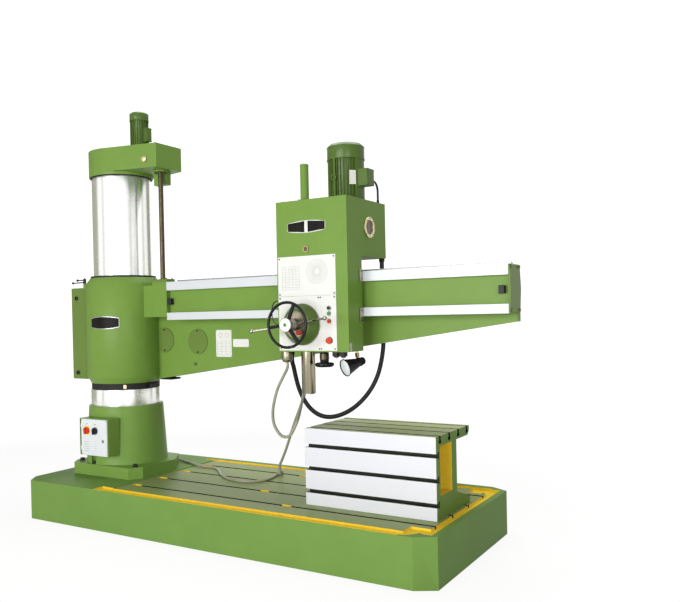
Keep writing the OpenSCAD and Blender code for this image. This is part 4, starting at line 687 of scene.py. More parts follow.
roundCircle, ins, outs = nodeTree("piecesRoundCircle", [
    ("Piece", "NodeSocketObject"), ("Count", "NodeSocketInt"), ("Radius", "NodeSocketFloat"),
    ("Centre", "NodeSocketVector"), ("Turn", "NodeSocketRotation"), ("Finish", "NodeSocketMaterial")])
circle = addNode(roundCircle, "GeometryNodeMeshCircle")
aim = addNode(roundCircle, "FunctionNodeAlignRotationToVector", axis="X", pivot_axis="Z")
here = addNode(roundCircle, "GeometryNodeInputPosition")
feed(roundCircle, ins.outputs["Count"], circle.inputs["Vertices"])
feed(roundCircle, ins.outputs["Radius"], circle.inputs["Radius"])
feed(roundCircle, here.outputs["Position"], aim.inputs["Vector"])
copies = spread(roundCircle, circle.outputs["Mesh"], ins.outputs["Piece"], aim.outputs["Rotation"])
closeTree(roundCircle, copies, ins, outs, moved=True)


def protoObject(name, *shapes):
    return bpy.data.objects.new(name, shaped(name, shapes))


def fromTree(name, tree, points, values, body):
    start = bpy.data.meshes.new("spots")
    start.from_pydata([Vector(p) for p in points], [], [])
    carrier = addObject(name + "Carrier", start)
    maker = carrier.modifiers.new("maker", "NODES")
    maker.node_group = tree
    for item in tree.interface.items_tree:
        if item.in_out == "INPUT" and item.name in values:
            maker[item.identifier] = values[item.name]
    seen = bpy.context.evaluated_depsgraph_get()
    mesh = bpy.data.meshes.new_from_object(carrier.evaluated_get(seen))
    mesh.name = name
    bpy.data.objects.remove(carrier)
    piece = addObject(name, mesh)
    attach(piece, body)


def screws(name, proto, points, turn, finish, body):
    fromTree(name, atPoints, points, {"Piece": proto, "Turn": turn, "Finish": finish}, body)


def ringOf(name, proto, count, radius, centre, turn, finish, body):
    values = {"Piece": proto, "Count": count, "Radius": radius, "Centre": tuple(centre), "Turn": turn,
              "Finish": finish}
    fromTree(name, roundCircle, [], values, body)


turnFront = (math.radians(90), 0, 0)
turnRight = (0, math.radians(90), 0)
turnLeft = (0, math.radians(-90), 0)
turnUnder = (math.radians(180), 0, 0)
turnTop = (0, 0, 0)
plain = onTop(0.0)


# Screw heads with their axis on Z, standing on z = 0
def hexHead(flats, high):
    r, washer = flats * 0.72, high * 0.14
    corners = [onCircle(flats / math.sqrt(3), k, 6) for k in range(6)]
    return protoObject("hexHead", (turned, [(0, 0), (r, 0), (r, washer), (0, washer)], plain, 0, 0, 20),
                       (slab, corners, plain, washer, high))


def socketHead(r, high):
    outside = [(0, 0), (r, 0), (r, high * 0.85), (r * 0.9, high)]
    socket = [(r * 0.55, high), (r * 0.5, high * 0.45), (0, high * 0.45)]
    return protoObject("socketHead", (turned, outside + socket, plain, 0, 0, 18))


def slotHead(r, high):
    dome = [(0, 0), (r, 0), (r * 0.9, high * 0.7), (r * 0.4, high), (0, high)]
    bar = box(-r * 0.75, r * 0.75, -r * 0.12, r * 0.12)
    return protoObject("slotHead", (turned, dome, plain, 0, 0, 16),
                       (slab, bar, plain, high * 0.9, high * 1.12))


# A ring of bright metal with a glass in it
def oilSight(prefix, body, face, facts):
    add(prefix + "Ring", facts["metal"], body,
        (hoop, *facts["ring"], face, *facts["at"], facts["ringSteps"]), edge=facts["edge"])
    add(prefix + "Glass", facts["pane"], body,
        (turned, facts["glass"], face, *facts["at"], facts["glassSteps"]))


# Drill head, front: name plate without words, oil sight, panel screws
headFront = {"face": -0.393, "panel": -0.399, "plate": (2.696, 3.133, 3.072, 3.194), "bow": 0.022,
             "rim": 0.006, "end": 0.005, "gap": 0.019, "lean": 0.017,
             "screwXs": (2.592, 3.218), "jointXs": (3.040, 3.063), "upperZs": (2.476, 2.828),
             "lowerZs": (1.940, 2.438)}
frontSight = {"at": (2.907, 2.914), "ring": (0.021, 0.034, 0.0, 0.012), "ringSteps": 36, "edge": 0.0015,
              "metal": brass, "pane": sightGlass, "glassSteps": 36,
              "glass": [(0, 0.003), (0.022, 0.003), (0.022, 0.006), (0, 0.008)]}
casing = onFront(headFront["face"])
panel = onFront(headFront["panel"])


def barrel(u0, u1, v0, v1, dip, steps=10):
    # a plate whose long edges bow outwards
    top = [(u1 + (u0 - u1) * k / steps, v1 - dip * (2 * k / steps - 1) ** 2) for k in range(steps + 1)]
    foot = [(u0 + (u1 - u0) * k / steps, v0 + dip * (2 * k / steps - 1) ** 2) for k in range(steps + 1)]
    return top + foot


add("namePlateBorder", whitePaint, "head",
    (slab, barrel(*headFront["plate"], headFront["bow"]), casing, 0.0, 0.004), edge=0.001)
u0, u1, v0, v1 = headFront["plate"]
middle, lean = (u0 + u1) / 2, headFront["lean"]
low, high = v0 + headFront["rim"], v1 - headFront["rim"]
halves = []
for inner, outer in ((middle - headFront["gap"], u0 + headFront["end"]),
                     (middle + headFront["gap"], u1 - headFront["end"])):
    shape = [(inner, low), (inner, high), (outer, high - lean), (outer, low + lean)]
    halves.append((slab, shape, casing, 0.003, 0.0065))
add("namePlatePanels", plateDark, "head", *halves, edge=0.001)
oilSight("frontSight", "head", casing, frontSight)
smallScrew = slotHead(0.008, 0.004)
spots = pairs(headFront["screwXs"], headFront["upperZs"])
spots += pairs(headFront["screwXs"], headFront["lowerZs"])
spots += pairs(headFront["jointXs"], headFront["lowerZs"])
screws("panelScrews", smallScrew, [panel(u, v, 0) for u, v in spots], turnFront, blackSteel, "head")

# A plain feed and speed chart: ruled lines and a ring of rays, without words
chart = {"span": (2.622, 2.826), "rise": (2.520, 2.748), "line": 0.0016,
         "rows": [2.520 + (2.748 - 2.520) * k / 9 for k in range(10)],
         "columns": [2.622 + (2.826 - 2.622) * k / 5 for k in range(6)],
         "star": (3.029, 2.690), "rays": 32, "rayReach": 0.0765}
add("chartLines", inkGrey, "head",
    (ruled, panel, chart, 0.0, 0.0005),
    (hoop, 0.118, 0.1195, 0.0, 0.0005, panel, *chart["star"], 64),
    (hoop, 0.034, 0.0355, 0.0, 0.0005, panel, *chart["star"], 48))
ray = protoObject("ray", (slab, box(-0.041, 0.041, -0.0009, 0.0009), plain, 0.0, 0.0005))
ringOf("chartRays", ray, chart["rays"], chart["rayReach"], panel(*chart["star"], 0), turnFront, inkGrey,
       "head")

# Collars round the push buttons
buttons = {"x": 3.157, "zs": (2.333, 2.280, 2.208), "collar": (0.019, 0.0235, 0.0, 0.004),
           "stopZ": 2.021, "stopCollar": (0.030, 0.036, 0.0, 0.0035)}
collars = [(hoop, *buttons["collar"], panel, buttons["x"], z, 32) for z in buttons["zs"]]
collars.append((hoop, *buttons["stopCollar"], panel, buttons["x"], buttons["stopZ"], 40))
add("buttonCollars", polishedSteel, "head", *collars, edge=0.0006)
print("head front done")

# Drill head, right side: big oil sight and depth scale
headSide = {"right": 3.366, "left": 2.559}
sideSight = {"at": (0.050, 3.126), "ring": (0.074, 0.104, 0.0, 0.016), "ringSteps": 64, "edge": 0.003,
             "metal": paleBrass, "pane": sightGlass, "glassSteps": 48,
             "glass": [(0, 0.0), (0.076, 0.0), (0.076, 0.006), (0.05, 0.010), (0, 0.012)]}
depthScale = {"plate": (-0.383, -0.342, 1.913, 1.998), "left": -0.382, "foot": 1.919, "step": 0.0052,
              "marks": 15, "long": 0.026, "short": 0.015}
side = onRight(headSide["right"])
oilSight("sideSight", "head", side, sideSight)
ringOf("sideSightScrews", socketHead(0.0062, 0.005), 8, 0.0895, side(*sideSight["at"], 0.016), turnRight,
       dullSteel, "head")
add("depthScalePlate", dullSteel, "head",
    (slab, roundBox(*depthScale["plate"], 0.004), side, 0.0, 0.003), edge=0.0006)
marks = []
for k in range(depthScale["marks"]):
    z = depthScale["foot"] + k * depthScale["step"]
    end = depthScale["left"] + depthScale["long" if k % 5 == 0 else "short"]
    marks.append((slab, box(depthScale["left"], end, z, z + 0.0012), side, 0.003, 0.0034))
add("depthScaleMarks", blackPlastic, "head", *marks)

# Felt wipers behind steel plates, on both sides of the head, over both rails
wipers = {"upper": (-0.172, -0.1135, 2.592, 2.704), "lower": (-0.176, -0.1135, 2.183, 2.327),
          "felt": 0.007, "plate": 0.012, "screwY": -0.145, "screwZs": (2.612, 2.684, 2.205, 2.305)}
for end, face, turn in (("right", side, turnRight), ("left", onLeft(headSide["left"]), turnLeft)):
    felts, plates = [], []
    for row in ("upper", "lower"):
        a, b, c, d = wipers[row]
        felt, plate = roundBox(a + 0.004, b, c + 0.003, d - 0.003, 0.004), roundBox(a, b - 0.004, c, d, 0.005)
        felts.append((slab, felt, face, 0.0, wipers["felt"]))
        plates.append((slab, plate, face, wipers["felt"], wipers["plate"]))
    add(end + "WiperFelts", sealRubber, "head", *felts, edge=0.001)
    add(end + "WiperPlates", dullSteel, "head", *plates, edge=0.0008)
    points = [face(wipers["screwY"], z, wipers["plate"]) for z in wipers["screwZs"]]
    screws(end + "WiperScrews", smallScrew, points, turn, blackSteel, "head")
print("head side done")

# Top of the head: foot and cap of the guard tube, cover screws
guardTube = {"at": (2.814, -0.250), "top": 3.755, "ring": (0.050, 0.078, 0.010, 0.016),
             "cap": [(0, -0.001), (0.0445, -0.001), (0.0445, 0.010), (0.036, 0.018), (0, 0.021)]}
headTop = {"z": 3.397, "screwXs": (2.61, 3.315), "screwYs": (-0.34, 0.02, 0.37)}
lid = onTop(headTop["z"])
add("guardTubeRing", leafGreen, "head", (hoop, *guardTube["ring"], lid, *guardTube["at"], 48), edge=0.002)
ringOf("guardTubeScrews", socketHead(0.007, 0.008), 6, 0.064, lid(*guardTube["at"], 0.016), turnTop,
       blackSteel, "head")
add("guardTubeCap", leafGreen, "head",
    (turned, guardTube["cap"], onTop(guardTube["top"]), *guardTube["at"]))
spots = [lid(x, y, 0) for x, y in pairs(headTop["screwXs"], headTop["screwYs"])]
screws("headTopScrews", socketHead(0.011, 0.011), spots, turnTop, blackSteel, "head")

# Motors: cowl lips and grille, terminal box lid. "box" is how far the box reaches out
mainMotor = {"at": (3.1050, 0.08005), "foot": 3.397, "r": 0.190, "high": 0.585, "cowl": 0.160,
             "box": 0.274, "boxZ": 3.546, "boxHigh": 0.165, "boxHalf": 0.070}
liftMotor = {"at": (0.322, 0.0), "foot": 4.280, "r": 0.112, "high": 0.445, "cowl": 0.0979,
             "box": 0.156, "boxZ": 4.369, "boxHigh": 0.1602, "boxHalf": 0.036}


def dressMotor(prefix, body, facts):
    x, y = facts["at"]
    r, cowl = facts["r"], facts["cowl"]
    top = onTop(facts["foot"] + facts["high"])
    lip = facts["foot"] + facts["high"] - cowl
    add(prefix + "CowlLips", motorGreen, body,
        (hoop, r * 0.995, r * 1.02, 0.0, 0.010, onTop(lip - 0.002), x, y, 72),
        (hoop, r * 0.995, r * 1.012, 0.0, 0.008, onTop(lip + cowl * 0.74), x, y, 72), edge=0.001)
    bar = box(-r * 0.12, r * 0.12, -r * 0.018, r * 0.018)
    gap = protoObject("grilleSlot", (slab, bar, plain, 0.0, 0.0012))
    for row, (count, reach) in enumerate(((28, 0.68), (18, 0.40))):
        ringOf(f"{prefix}Grille{row}", gap, count, r * reach, top(x, y, 0), turnTop, plateDark, body)
    add(prefix + "CowlBoss", motorGreen, body,
        (turned, [(0, 0.0), (r * 0.16, 0.0), (r * 0.14, 0.004), (0, 0.005)], top, x, y, 36))
    ringOf(prefix + "CowlScrews", slotHead(r * 0.035, r * 0.02), 4, r * 0.76, top(x, y, 0), turnTop,
           blackSteel, body)
    lid = onRight(x + facts["box"])
    z, high, half = facts["boxZ"], facts["boxHigh"], facts["boxHalf"]
    add(prefix + "BoxLid", motorGreen, body,
        (slab, roundBox(y - half, y + half, z, z + high, 0.008), lid, 0.0, 0.007),
        (slab, roundBox(y - half * 0.82, y + half * 0.82, z + high * 0.09, z + high * 0.91, 0.008), lid,
         0.007, 0.010), edge=0.0015)
    points = [lid(y + a * half * 0.9, z + high * b, 0.007) for a, b in pairs((-1, 1), (0.055, 0.945))]
    screws(prefix + "BoxScrews", slotHead(0.006, 0.004), points, turnRight, blackSteel, body)


dressMotor("mainMotor", "head", mainMotor)
dressMotor("liftMotor", "column", liftMotor)

# Main motor: flange bolts, bare plate, lifting eye on its rib, plain pad beside the terminal box
motorTrim = {"boltZ": 3.425,
             "plate": (-0.034, 0.034, 3.557, 3.697), "plateTurn": -40, "plateOut": (0.181, 0.187),
             "eyeTurn": -98.4, "eyeZ": 3.63, "eyeOut": 0.203, "eye": 0.026, "eyeRod": 0.007,
             "rib": (-0.013, 0.013, 3.426, 3.900), "ribOut": (0.178, 0.1945),
             "padTurns": range(-28, 32, 4), "padOut": (0.1862, 0.164), "padZ": 3.426, "padHigh": 0.395}
x, y = mainMotor["at"]
ringOf("mainMotorBolts", hexHead(0.024, 0.016), 8, 0.176, (x, y, motorTrim["boltZ"]), turnTop,
       blackSteel, "head")
plateFace = onRound(x, y, motorTrim["plateTurn"])
add("motorBarePlate", whitePaint, "head",
    (slab, roundBox(*motorTrim["plate"], 0.004), plateFace, *motorTrim["plateOut"]), edge=0.0006)
eyeFace = onRound(x, y, motorTrim["eyeTurn"])
loop = [onCircle(motorTrim["eye"], k, 24) for k in range(25)]
route = [eyeFace(u, motorTrim["eyeZ"] + v, motorTrim["eyeOut"]) for u, v in loop]
add("mainMotorEye", motorGreen, "head", (pipe, route, motorTrim["eyeRod"], 10))
add("mainMotorRib", motorGreen, "head",
    (slab, roundBox(*motorTrim["rib"], 0.006), eyeFace, *motorTrim["ribOut"]), edge=0.002)
turns = [math.radians(a) for a in motorTrim["padTurns"]]
outer, inner = motorTrim["padOut"]
arcs = [(outer, a) for a in turns] + [(inner, a) for a in reversed(turns)]
outline = [(x + r * math.cos(a), y + r * math.sin(a)) for r, a in arcs]
add("mainMotorPad", motorGreen, "head", (slab, outline, onTop(motorTrim["padZ"]), 0.0, motorTrim["padHigh"]),
    edge=0.002)
print("motors done")

# Feed hub: housing screws and rim, graduated dial, red knob, hub cap and cone. Faces are y of the front
feedHub = {"at": (2.850, 2.180), "housing": -0.4302, "dial": -0.5205, "dialFront": -0.5305, "ticks": 60,
           "knob": (2.908, 2.101), "cone": -0.590, "band": -0.6905, "cap": -0.7025,
           "knobShape": [(0, 0.0), (0.020, 0.0), (0.012, 0.010), (0.012, 0.022), (0.022, 0.030),
                         (0.023, 0.044), (0.016, 0.052), (0, 0.054)],
           "capShape": [(0.017, 0.0), (0.064, 0.0), (0.062, 0.003), (0.030, 0.0055), (0.017, 0.0055),
                        (0.017, 0.0)],
           "coneShape": [(0.051, 0.0), (0.060, 0.002), (0.051, 0.060), (0.0505, 0.060), (0.051, 0.0)]}
hub = feedHub["at"]
housing = onFront(feedHub["housing"])
ringOf("feedHousingScrews", socketHead(0.011, 0.012), 6, 0.187, housing(*hub, 0), turnFront,
       blackSteel, "head")
add("feedHousingRim", dullSteel, "head", (hoop, 0.186, 0.206, 0.0, 0.010, panel, *hub, 72), edge=0.002)
add("feedDial", turnedSteel, "feed_levers",
    (hoop, 0.058, 0.128, 0.0, 0.010, onFront(feedHub["dial"]), *hub, 72), edge=0.0015)
dialFront = onFront(feedHub["dialFront"])
tick = protoObject("tick", (slab, box(-0.007, 0.007, -0.0009, 0.0009), plain, 0.0, 0.0006))
ringOf("feedDialTicks", tick, feedHub["ticks"], 0.118, dialFront(*hub, 0), turnFront, blackPlastic,
       "feed_levers")
add("redKnob", signalRed, "feed_levers", (turned, feedHub["knobShape"], dialFront, *feedHub["knob"], 36))
add("hubCapBand", polishedSteel, "handwheel",
    (hoop, 0.052, 0.068, 0.0, 0.012, onFront(feedHub["band"]), *hub, 64), edge=0.002)
add("hubCapFace", whitePaint, "handwheel", (turned, feedHub["capShape"], onFront(feedHub["cap"]), *hub, 64))
add("wheelHubCone", gearSteel, "handwheel",
    (turned, feedHub["coneShape"], onFront(feedHub["cone"]), *hub, 64), slot="bright_steel")
print("feed hub done")

# Fine feed wheel: knurled rim and dark sleeve above it
fineWheel = {"at": (3.034, -0.300), "rimZ": 1.780, "ribs": 60, "rimReach": 0.0918, "sleeveZ": 1.836}
outline = [(-0.0025, -0.002), (0.0022, -0.0012), (0.0022, 0.0012), (-0.0025, 0.002)]
rib = protoObject("rib", (slab, outline, plain, -0.005, 0.013))
ringOf("fineWheelKnurl", rib, fineWheel["ribs"], fineWheel["rimReach"], (*fineWheel["at"], fineWheel["rimZ"]),
       turnTop, wheelBlack, "fine_feed_wheel")
add("fineWheelBoss", oiledThread, "fine_feed_wheel",
    (turned, [(0.0435, -0.002), (0.047, -0.002), (0.047, 0.052), (0.0435, 0.054), (0.0435, -0.002)],
     onTop(fineWheel["sleeveZ"]), *fineWheel["at"]), edge=0.001)

# Limit switches under the head
limitSwitch = {"xs": (3.172, 3.250), "top": 1.910, "nose": 1.864, "pin": 1.852, "pinY": -0.301,
               "pinShape": [(0, 0.0), (0.007, 0.0), (0.007, 0.012), (0.004, 0.016), (0, 0.016)]}
blocks, pins = [], []
for x in limitSwitch["xs"]:
    block = roundBox(x - 0.026, x + 0.026, -0.340, -0.262, 0.006)
    nose = roundBox(x - 0.017, x + 0.017, -0.325, -0.277, 0.006)
    blocks.append((slab, block, onUnder(limitSwitch["top"]), 0.0, 0.046))
    blocks.append((slab, nose, onUnder(limitSwitch["nose"]), 0.0, 0.012))
    pins.append((turned, limitSwitch["pinShape"], onUnder(limitSwitch["pin"]), x, limitSwitch["pinY"], 20))
add("limitSwitches", blackPlastic, "head", *blocks, edge=0.002)
add("limitSwitchPins", polishedSteel, "head", *pins)

# Oil pipe from a nut on the head's left side round to the feed housing
oilPipe = {"r": 0.0055, "nut": (-0.318, 2.380), "nutX": 2.560,
           "start": [(2.563, -0.318, 2.380), (2.552, -0.322, 2.386), (2.545, -0.330, 2.395)],
           "route": [(2.545, -0.330, 2.395), (2.535, -0.345, 2.412), (2.522, -0.365, 2.416),
                     (2.505, -0.388, 2.402), (2.498, -0.405, 2.360), (2.497, -0.412, 2.300),
                     (2.502, -0.414, 2.240), (2.520, -0.414, 2.205), (2.552, -0.414, 2.186),
                     (2.600, -0.414, 2.180), (2.650, -0.414, 2.180)]}
add("oilPipeLeft", blackSteel, "head",
    (pipe, oilPipe["route"], oilPipe["r"]),
    (pipe, oilPipe["start"], oilPipe["r"]))
add("oilPipeNut", brass, "head",
    (turned, [(0, 0.0), (0.012, 0.0), (0.012, 0.012), (0, 0.012)], onLeft(oilPipe["nutX"]),
     *oilPipe["nut"], 6), edge=0.0008)
print("under the head done")

# Lamp: lens, mouth ring, cooling ribs and tail on its own axis
lamp = {"pivot": (3.340, -0.190, 1.865), "turn": -118.0, "dip": 16.3, "hang": 0.066, "tail": 0.060,
        "ribs": 4,
        "lens": [(0, 0.205), (0.0755, 0.205), (0.0800, 0.221), (0.055, 0.228), (0, 0.231)],
        "tailShape": [(0, -0.012), (0.010, -0.012), (0.014, -0.004), (0.026, 0.0), (0, 0.0)]}
tip = Matrix.Translation(lamp["pivot"]) @ Matrix.Rotation(math.radians(lamp["turn"]), 4, "Z") \
    @ Matrix.Rotation(math.radians(90 + lamp["dip"]), 4, "Y") \
    @ Matrix.Translation((lamp["hang"], 0, -lamp["tail"]))
alongLamp = (lambda u, v, w: tip @ Vector((u, v, w)))
add("lampLens", lensWhite, "lamp", (turned, lamp["lens"], alongLamp, 0, 0, 48))
add("lampMouthRing", blackPlastic, "lamp",
    (hoop, 0.0815, 0.0868, 0.222, 0.231, alongLamp, 0, 0, 64), edge=0.001)
ribs = []
for k in range(lamp["ribs"]):
    low = 0.012 + 0.013 * k
    ribs.append((hoop, 0.030 + 0.0024 * k, 0.0375 + 0.0022 * k, low, low + 0.005, alongLamp, 0, 0, 48))
add("lampRibs", wheelBlack, "lamp", *ribs, edge=0.0008)
add("lampTail", wheelBlack, "lamp", (turned, lamp["tailShape"], alongLamp, 0, 0, 32))

# Hose ends: clamps under the fitting, nuts under the head
hoseEnds = {"fitting": (2.6195, -0.3402), "clampZs": (1.792, 1.780),
            "nuts": ((2.688, -0.140), (2.780, -0.140)), "nutZ": 1.874}
clamps = [(hoop, 0.0128, 0.0165, 0.0, 0.007, onUnder(z), *hoseEnds["fitting"], 32)
          for z in hoseEnds["clampZs"]]
add("fittingClamp", polishedSteel, "head", *clamps, edge=0.0006)
nuts = [(hoop, 0.0125, 0.021, 0.0, 0.014, onUnder(hoseEnds["nutZ"]), x, y, 6) for x, y in hoseEnds["nuts"]]
add("hoseNuts", brass, "head", *nuts, edge=0.001)

# Arm, front: web covers, plug, bare plates with plain lines
armWeb = {"y": 0.130, "covers": ((0.534, 2.007), (1.051, 1.989)), "coverOut": 0.008, "screwReach": 0.122,
          "cover": [(0, 0.0), (0.145, 0.0), (0.145, 0.005), (0.141, 0.008), (0, 0.008)],
          "seam": (0.1455, 0.1490, 0.0, 0.0012), "plug": (1.012, 1.726)}
barePlates = {"large": (1.324, 1.548, 1.814, 2.121), "small": (1.568, 1.791, 1.928, 2.017), "out": 0.003,
              "rivetInset": 0.009, "span": (1.344, 1.528), "rise": (1.842, 1.994), "line": 0.0022,
              "rows": [1.842 + 0.030 * k for k in range(6)], "columns": (1.344, 1.405, 1.466, 1.526),
              "rings": ((1.392, 2.060), (1.482, 2.060))}
web = onFront(armWeb["y"])
add("webCovers", coverGreen, "arm", *[(turned, armWeb["cover"], web, *at, 64) for at in armWeb["covers"]])
add("webCoverSeams", motorGreen, "arm", *[(hoop, *armWeb["seam"], web, *at, 64) for at in armWeb["covers"]])
reach, out = armWeb["screwReach"], armWeb["coverOut"]
points = [web(x, z + s * reach, out) for x, z in armWeb["covers"] for s in (-1, 1)]
screws("webCoverScrews", socketHead(0.010, 0.007), points, turnFront, blackSteel, "arm")
add("webPlug", motorGreen, "arm",
    (turned, [(0, 0.0), (0.022, 0.0), (0.022, 0.008), (0.012, 0.010), (0.012, 0.004), (0, 0.004)], web,
     *armWeb["plug"], 32))
plates, points, inset = [], [], barePlates["rivetInset"]
for plate in ("large", "small"):
    u0, u1, v0, v1 = barePlates[plate]
    plates.append((slab, roundBox(u0, u1, v0, v1, 0.006), web, 0.0, barePlates["out"]))
    corners = pairs((u0 + inset, u1 - inset), (v0 + inset, v1 - inset))
    points += [web(u, v, barePlates["out"]) for u, v in corners]
add("barePlates", whitePaint, "arm", *plates, edge=0.0006)
rings = [(hoop, 0.024, 0.027, 0.003, 0.0036, web, *at, 32) for at in barePlates["rings"]]
add("plateLines", inkGrey, "arm", (ruled, web, barePlates, 0.003, 0.0036), *rings)
screws("plateRivets", slotHead(0.005, 0.003), points, turnFront, gearSteel, "arm")

# The badge's bare place, bent round the sleeve
badge = {"turn": 284.0, "wide": 0.39, "low": 2.155, "high": 2.305, "r": 0.452, "bow": 0.020, "rim": 0.008}


def onSleeve(u, v, w):
    a = math.radians(badge["turn"]) + u / badge["r"]
    return Vector(((badge["r"] + w) * math.cos(a), (badge["r"] + w) * math.sin(a), v))


def bentPlate(work, inset, low, high, steps=14):
    half = badge["wide"] / 2 - inset
    foot, head = [], []
    for k in range(steps + 1):
        s = 2 * k / steps - 1
        bow = badge["bow"] * s * s
        edges = (badge["low"] + inset + bow, badge["high"] - inset - bow)
        foot.append([work.verts.new(onSleeve(half * s, v, low)) for v in edges])
        head.append([work.verts.new(onSleeve(half * s, v, high)) for v in edges])
    for i in range(steps):
        work.faces.new((foot[i][0], foot[i][1], foot[i + 1][1], foot[i + 1][0]))
        work.faces.new((head[i][0], head[i + 1][0], head[i + 1][1], head[i][1]))
        for k in (0, 1):
            work.faces.new((foot[i][k], foot[i + 1][k], head[i + 1][k], head[i][k]))
    for i in (0, -1):
        work.faces.new((foot[i][0], head[i][0], head[i][1], foot[i][1]))


add("badgeBorder", gearSteel, "arm", (bentPlate, 0.0, -0.001, 0.004), edge=0.0008, slot="bright_steel")
add("badgeField", plateDark, "arm", (bentPlate, badge["rim"], 0.003, 0.0055))

# Arm: clamp bolts, nut plate screws, end plate bolts, seal screws
armBolts = {"clamp": ((-0.546, -0.260, 2.535), (-0.546, -0.260, 1.622)),
            "nutXs": (0.585, 0.765), "nutYs": (-0.072, 0.028), "nutZ": 2.724,
            "endX": 4.8296, "endYs": (-0.06, 0.15), "endZs": (2.275, 2.665),
            "sealZ": 2.785, "seal": 0.372}
screws("clampBolts", socketHead(0.026, 0.016), armBolts["clamp"], turnFront, blackSteel, "arm")
points = [(x, y, armBolts["nutZ"]) for x, y in pairs(armBolts["nutXs"], armBolts["nutYs"])]
screws("nutScrews", socketHead(0.011, 0.011), points, turnTop, blackSteel, "arm")
points = [(armBolts["endX"], y, z) for y, z in pairs(armBolts["endYs"], armBolts["endZs"])]
screws("endPlateBolts", hexHead(0.026, 0.014), points, turnRight, coverGreen, "arm")
ringOf("wiperScrews", slotHead(0.010, 0.005), 12, armBolts["seal"], (0, 0, armBolts["sealZ"]), turnTop,
       blackSteel, "arm")

# Under the sleeve: small plate on the lower seal, trip dog, plate under the arm's root
sealPlate = {"turn": -46, "shape": (-0.018, 0.018, 1.450, 1.496), "out": (0.402, 0.407)}
add("sealPlate", paleBrass, "arm",
    (slab, roundBox(*sealPlate["shape"], 0.004), onRound(0, 0, sealPlate["turn"]), *sealPlate["out"]),
    edge=0.0008)
add("tripDog", blackSteel, "arm",
    (slab, roundBox(0.404, 0.470, -0.040, 0.020, 0.004), onTop(1.448), 0.0, 0.040),
    (slab, roundBox(0.455, 0.500, -0.026, 0.006, 0.004), onTop(1.462), 0.0, 0.012), edge=0.002)
add("rootPlate", plateDark, "arm",
    (slab, roundBox(0.44, 0.62, 0.135, 0.30, 0.006), onUnder(1.552), 0.0, 0.022), edge=0.002)
print("arm done")

# Column: dark gap ring under the cap, cap screws, bolts and sight
thread = {"x": 0.647, "low": 2.560, "high": 3.984, "lead": 0.040, "starts": 4, "core": 0.0270,
          "crest": 0.0292, "steps": 20}
columnCap = {"seal": 3.961, "top": 4.280, "under": 3.985, "motorBoltZ": 4.308,
             "r": 0.378, "touchTurn": -77.5, "corner": (0.784, -0.211),
             "screws": ((-0.26, -0.20), (-0.26, 0.20), (0.02, -0.32), (0.02, 0.32),
                        (0.50, -0.205), (0.50, 0.205), (0.735, -0.165), (0.735, 0.165))}
capSight = {"at": (0.562, 4.103), "ring": (0.022, 0.036, 0.0, 0.012), "ringSteps": 36, "edge": 0.0015,
            "metal": brass, "pane": paleBrass, "glassSteps": 36,
            "glass": [(0, 0.0), (0.023, 0.0), (0.023, 0.007), (0, 0.009)]}
add("capSeal", sealRubber, "column",
    (hoop, 0.3505, 0.366, 0.0, 0.012, onTop(columnCap["seal"]), 0, 0, 96), edge=0.001)
points = [(x, y, columnCap["top"]) for x, y in columnCap["screws"]]
screws("capScrews", socketHead(0.014, 0.014), points, turnTop, blackSteel, "column")
ringOf("screwBearingBolts", socketHead(0.010, 0.010), 6, 0.066, (thread["x"], 0, columnCap["under"]),
       turnUnder, blackSteel, "column")
# the cap's flat side runs from where it leaves the round to its front corner
a = math.radians(columnCap["touchTurn"])
touch = Vector((columnCap["r"] * math.cos(a), columnCap["r"] * math.sin(a), 0))
way = (Vector((*columnCap["corner"], 0)) - touch).normalized()
oilSight("capSight", "column", onUpright(touch, way), capSight)
ringOf("liftMotorBolts", hexHead(0.016, 0.010), 6, 0.103, (*liftMotor["at"], columnCap["motorBoltZ"]),
       turnTop, blackSteel, "column")
print("column done")


# Thread of the lift screw: four starts whose lead is the one of the arm's lift
def cutThread(work, facts):
    high = facts["high"] - facts["low"]
    count = int(high / facts["lead"] * facts["steps"])
    half = facts["lead"] / facts["starts"] / 2
    core, crest = facts["core"], facts["crest"]
    section = ((core, -0.8 * half), (crest, -0.35 * half), (crest, 0.35 * half), (core, 0.8 * half))
    for start in range(facts["starts"]):
        rows = []
        for k in range(count + 1):
            a = -2 * math.pi * (k / facts["steps"] + start / facts["starts"])
            z = facts["low"] + half + (high - 2 * half) * k / count
            corners = [(facts["x"] + r * math.cos(a), r * math.sin(a), z + dz) for r, dz in section]
            rows.append([work.verts.new(corner) for corner in corners])
        for a, b in zip(rows, rows[1:]):
            for i in range(4):
                j = (i + 1) % 4
                work.faces.new((a[i], a[j], b[j], b[i]))
        work.faces.new(rows[0])
        work.faces.new(list(reversed(rows[-1])))


add("liftThread", oiledThread, "lift_screw", (cutThread, thread))

# Electric box: yellow plate behind the switch, plain marks, lock, knob ring, hinge caps, screws
cabinet = {"y": -0.575, "switchPlate": (-0.108, -0.008, 0.9324, 1.0324),
           "lines": 5, "lineZ": 0.745, "lineStep": 0.026, "longLine": (-0.112, -0.020),
           "shortLine": (0.066, 0.096), "labelXs": (-0.058, 0.078),
           "lock": (0.205, 0.870), "selector": (0.078, 0.9824),
           "hinge": (-0.162, -0.569), "hingeZs": (0.7505, 1.0105), "hingeHigh": 0.0495,
           "hingeCap": [(0, 0.0), (0.0075, 0.0), (0.0075, 0.004), (0, 0.006)],
           "screwXs": (-0.140, 0.254), "screwZs": (0.711, 1.099)}
door = onFront(cabinet["y"])
add("switchPlate", yellowPaint, "cabinet_door",
    (slab, roundBox(*cabinet["switchPlate"], 0.030), door, 0.0, 0.0002))
lines = []
for k in range(cabinet["lines"]):
    z = cabinet["lineZ"] + cabinet["lineStep"] * k
    lines += [box(*cabinet["longLine"], z, z + 0.003), box(*cabinet["shortLine"], z + 0.008, z + 0.011)]
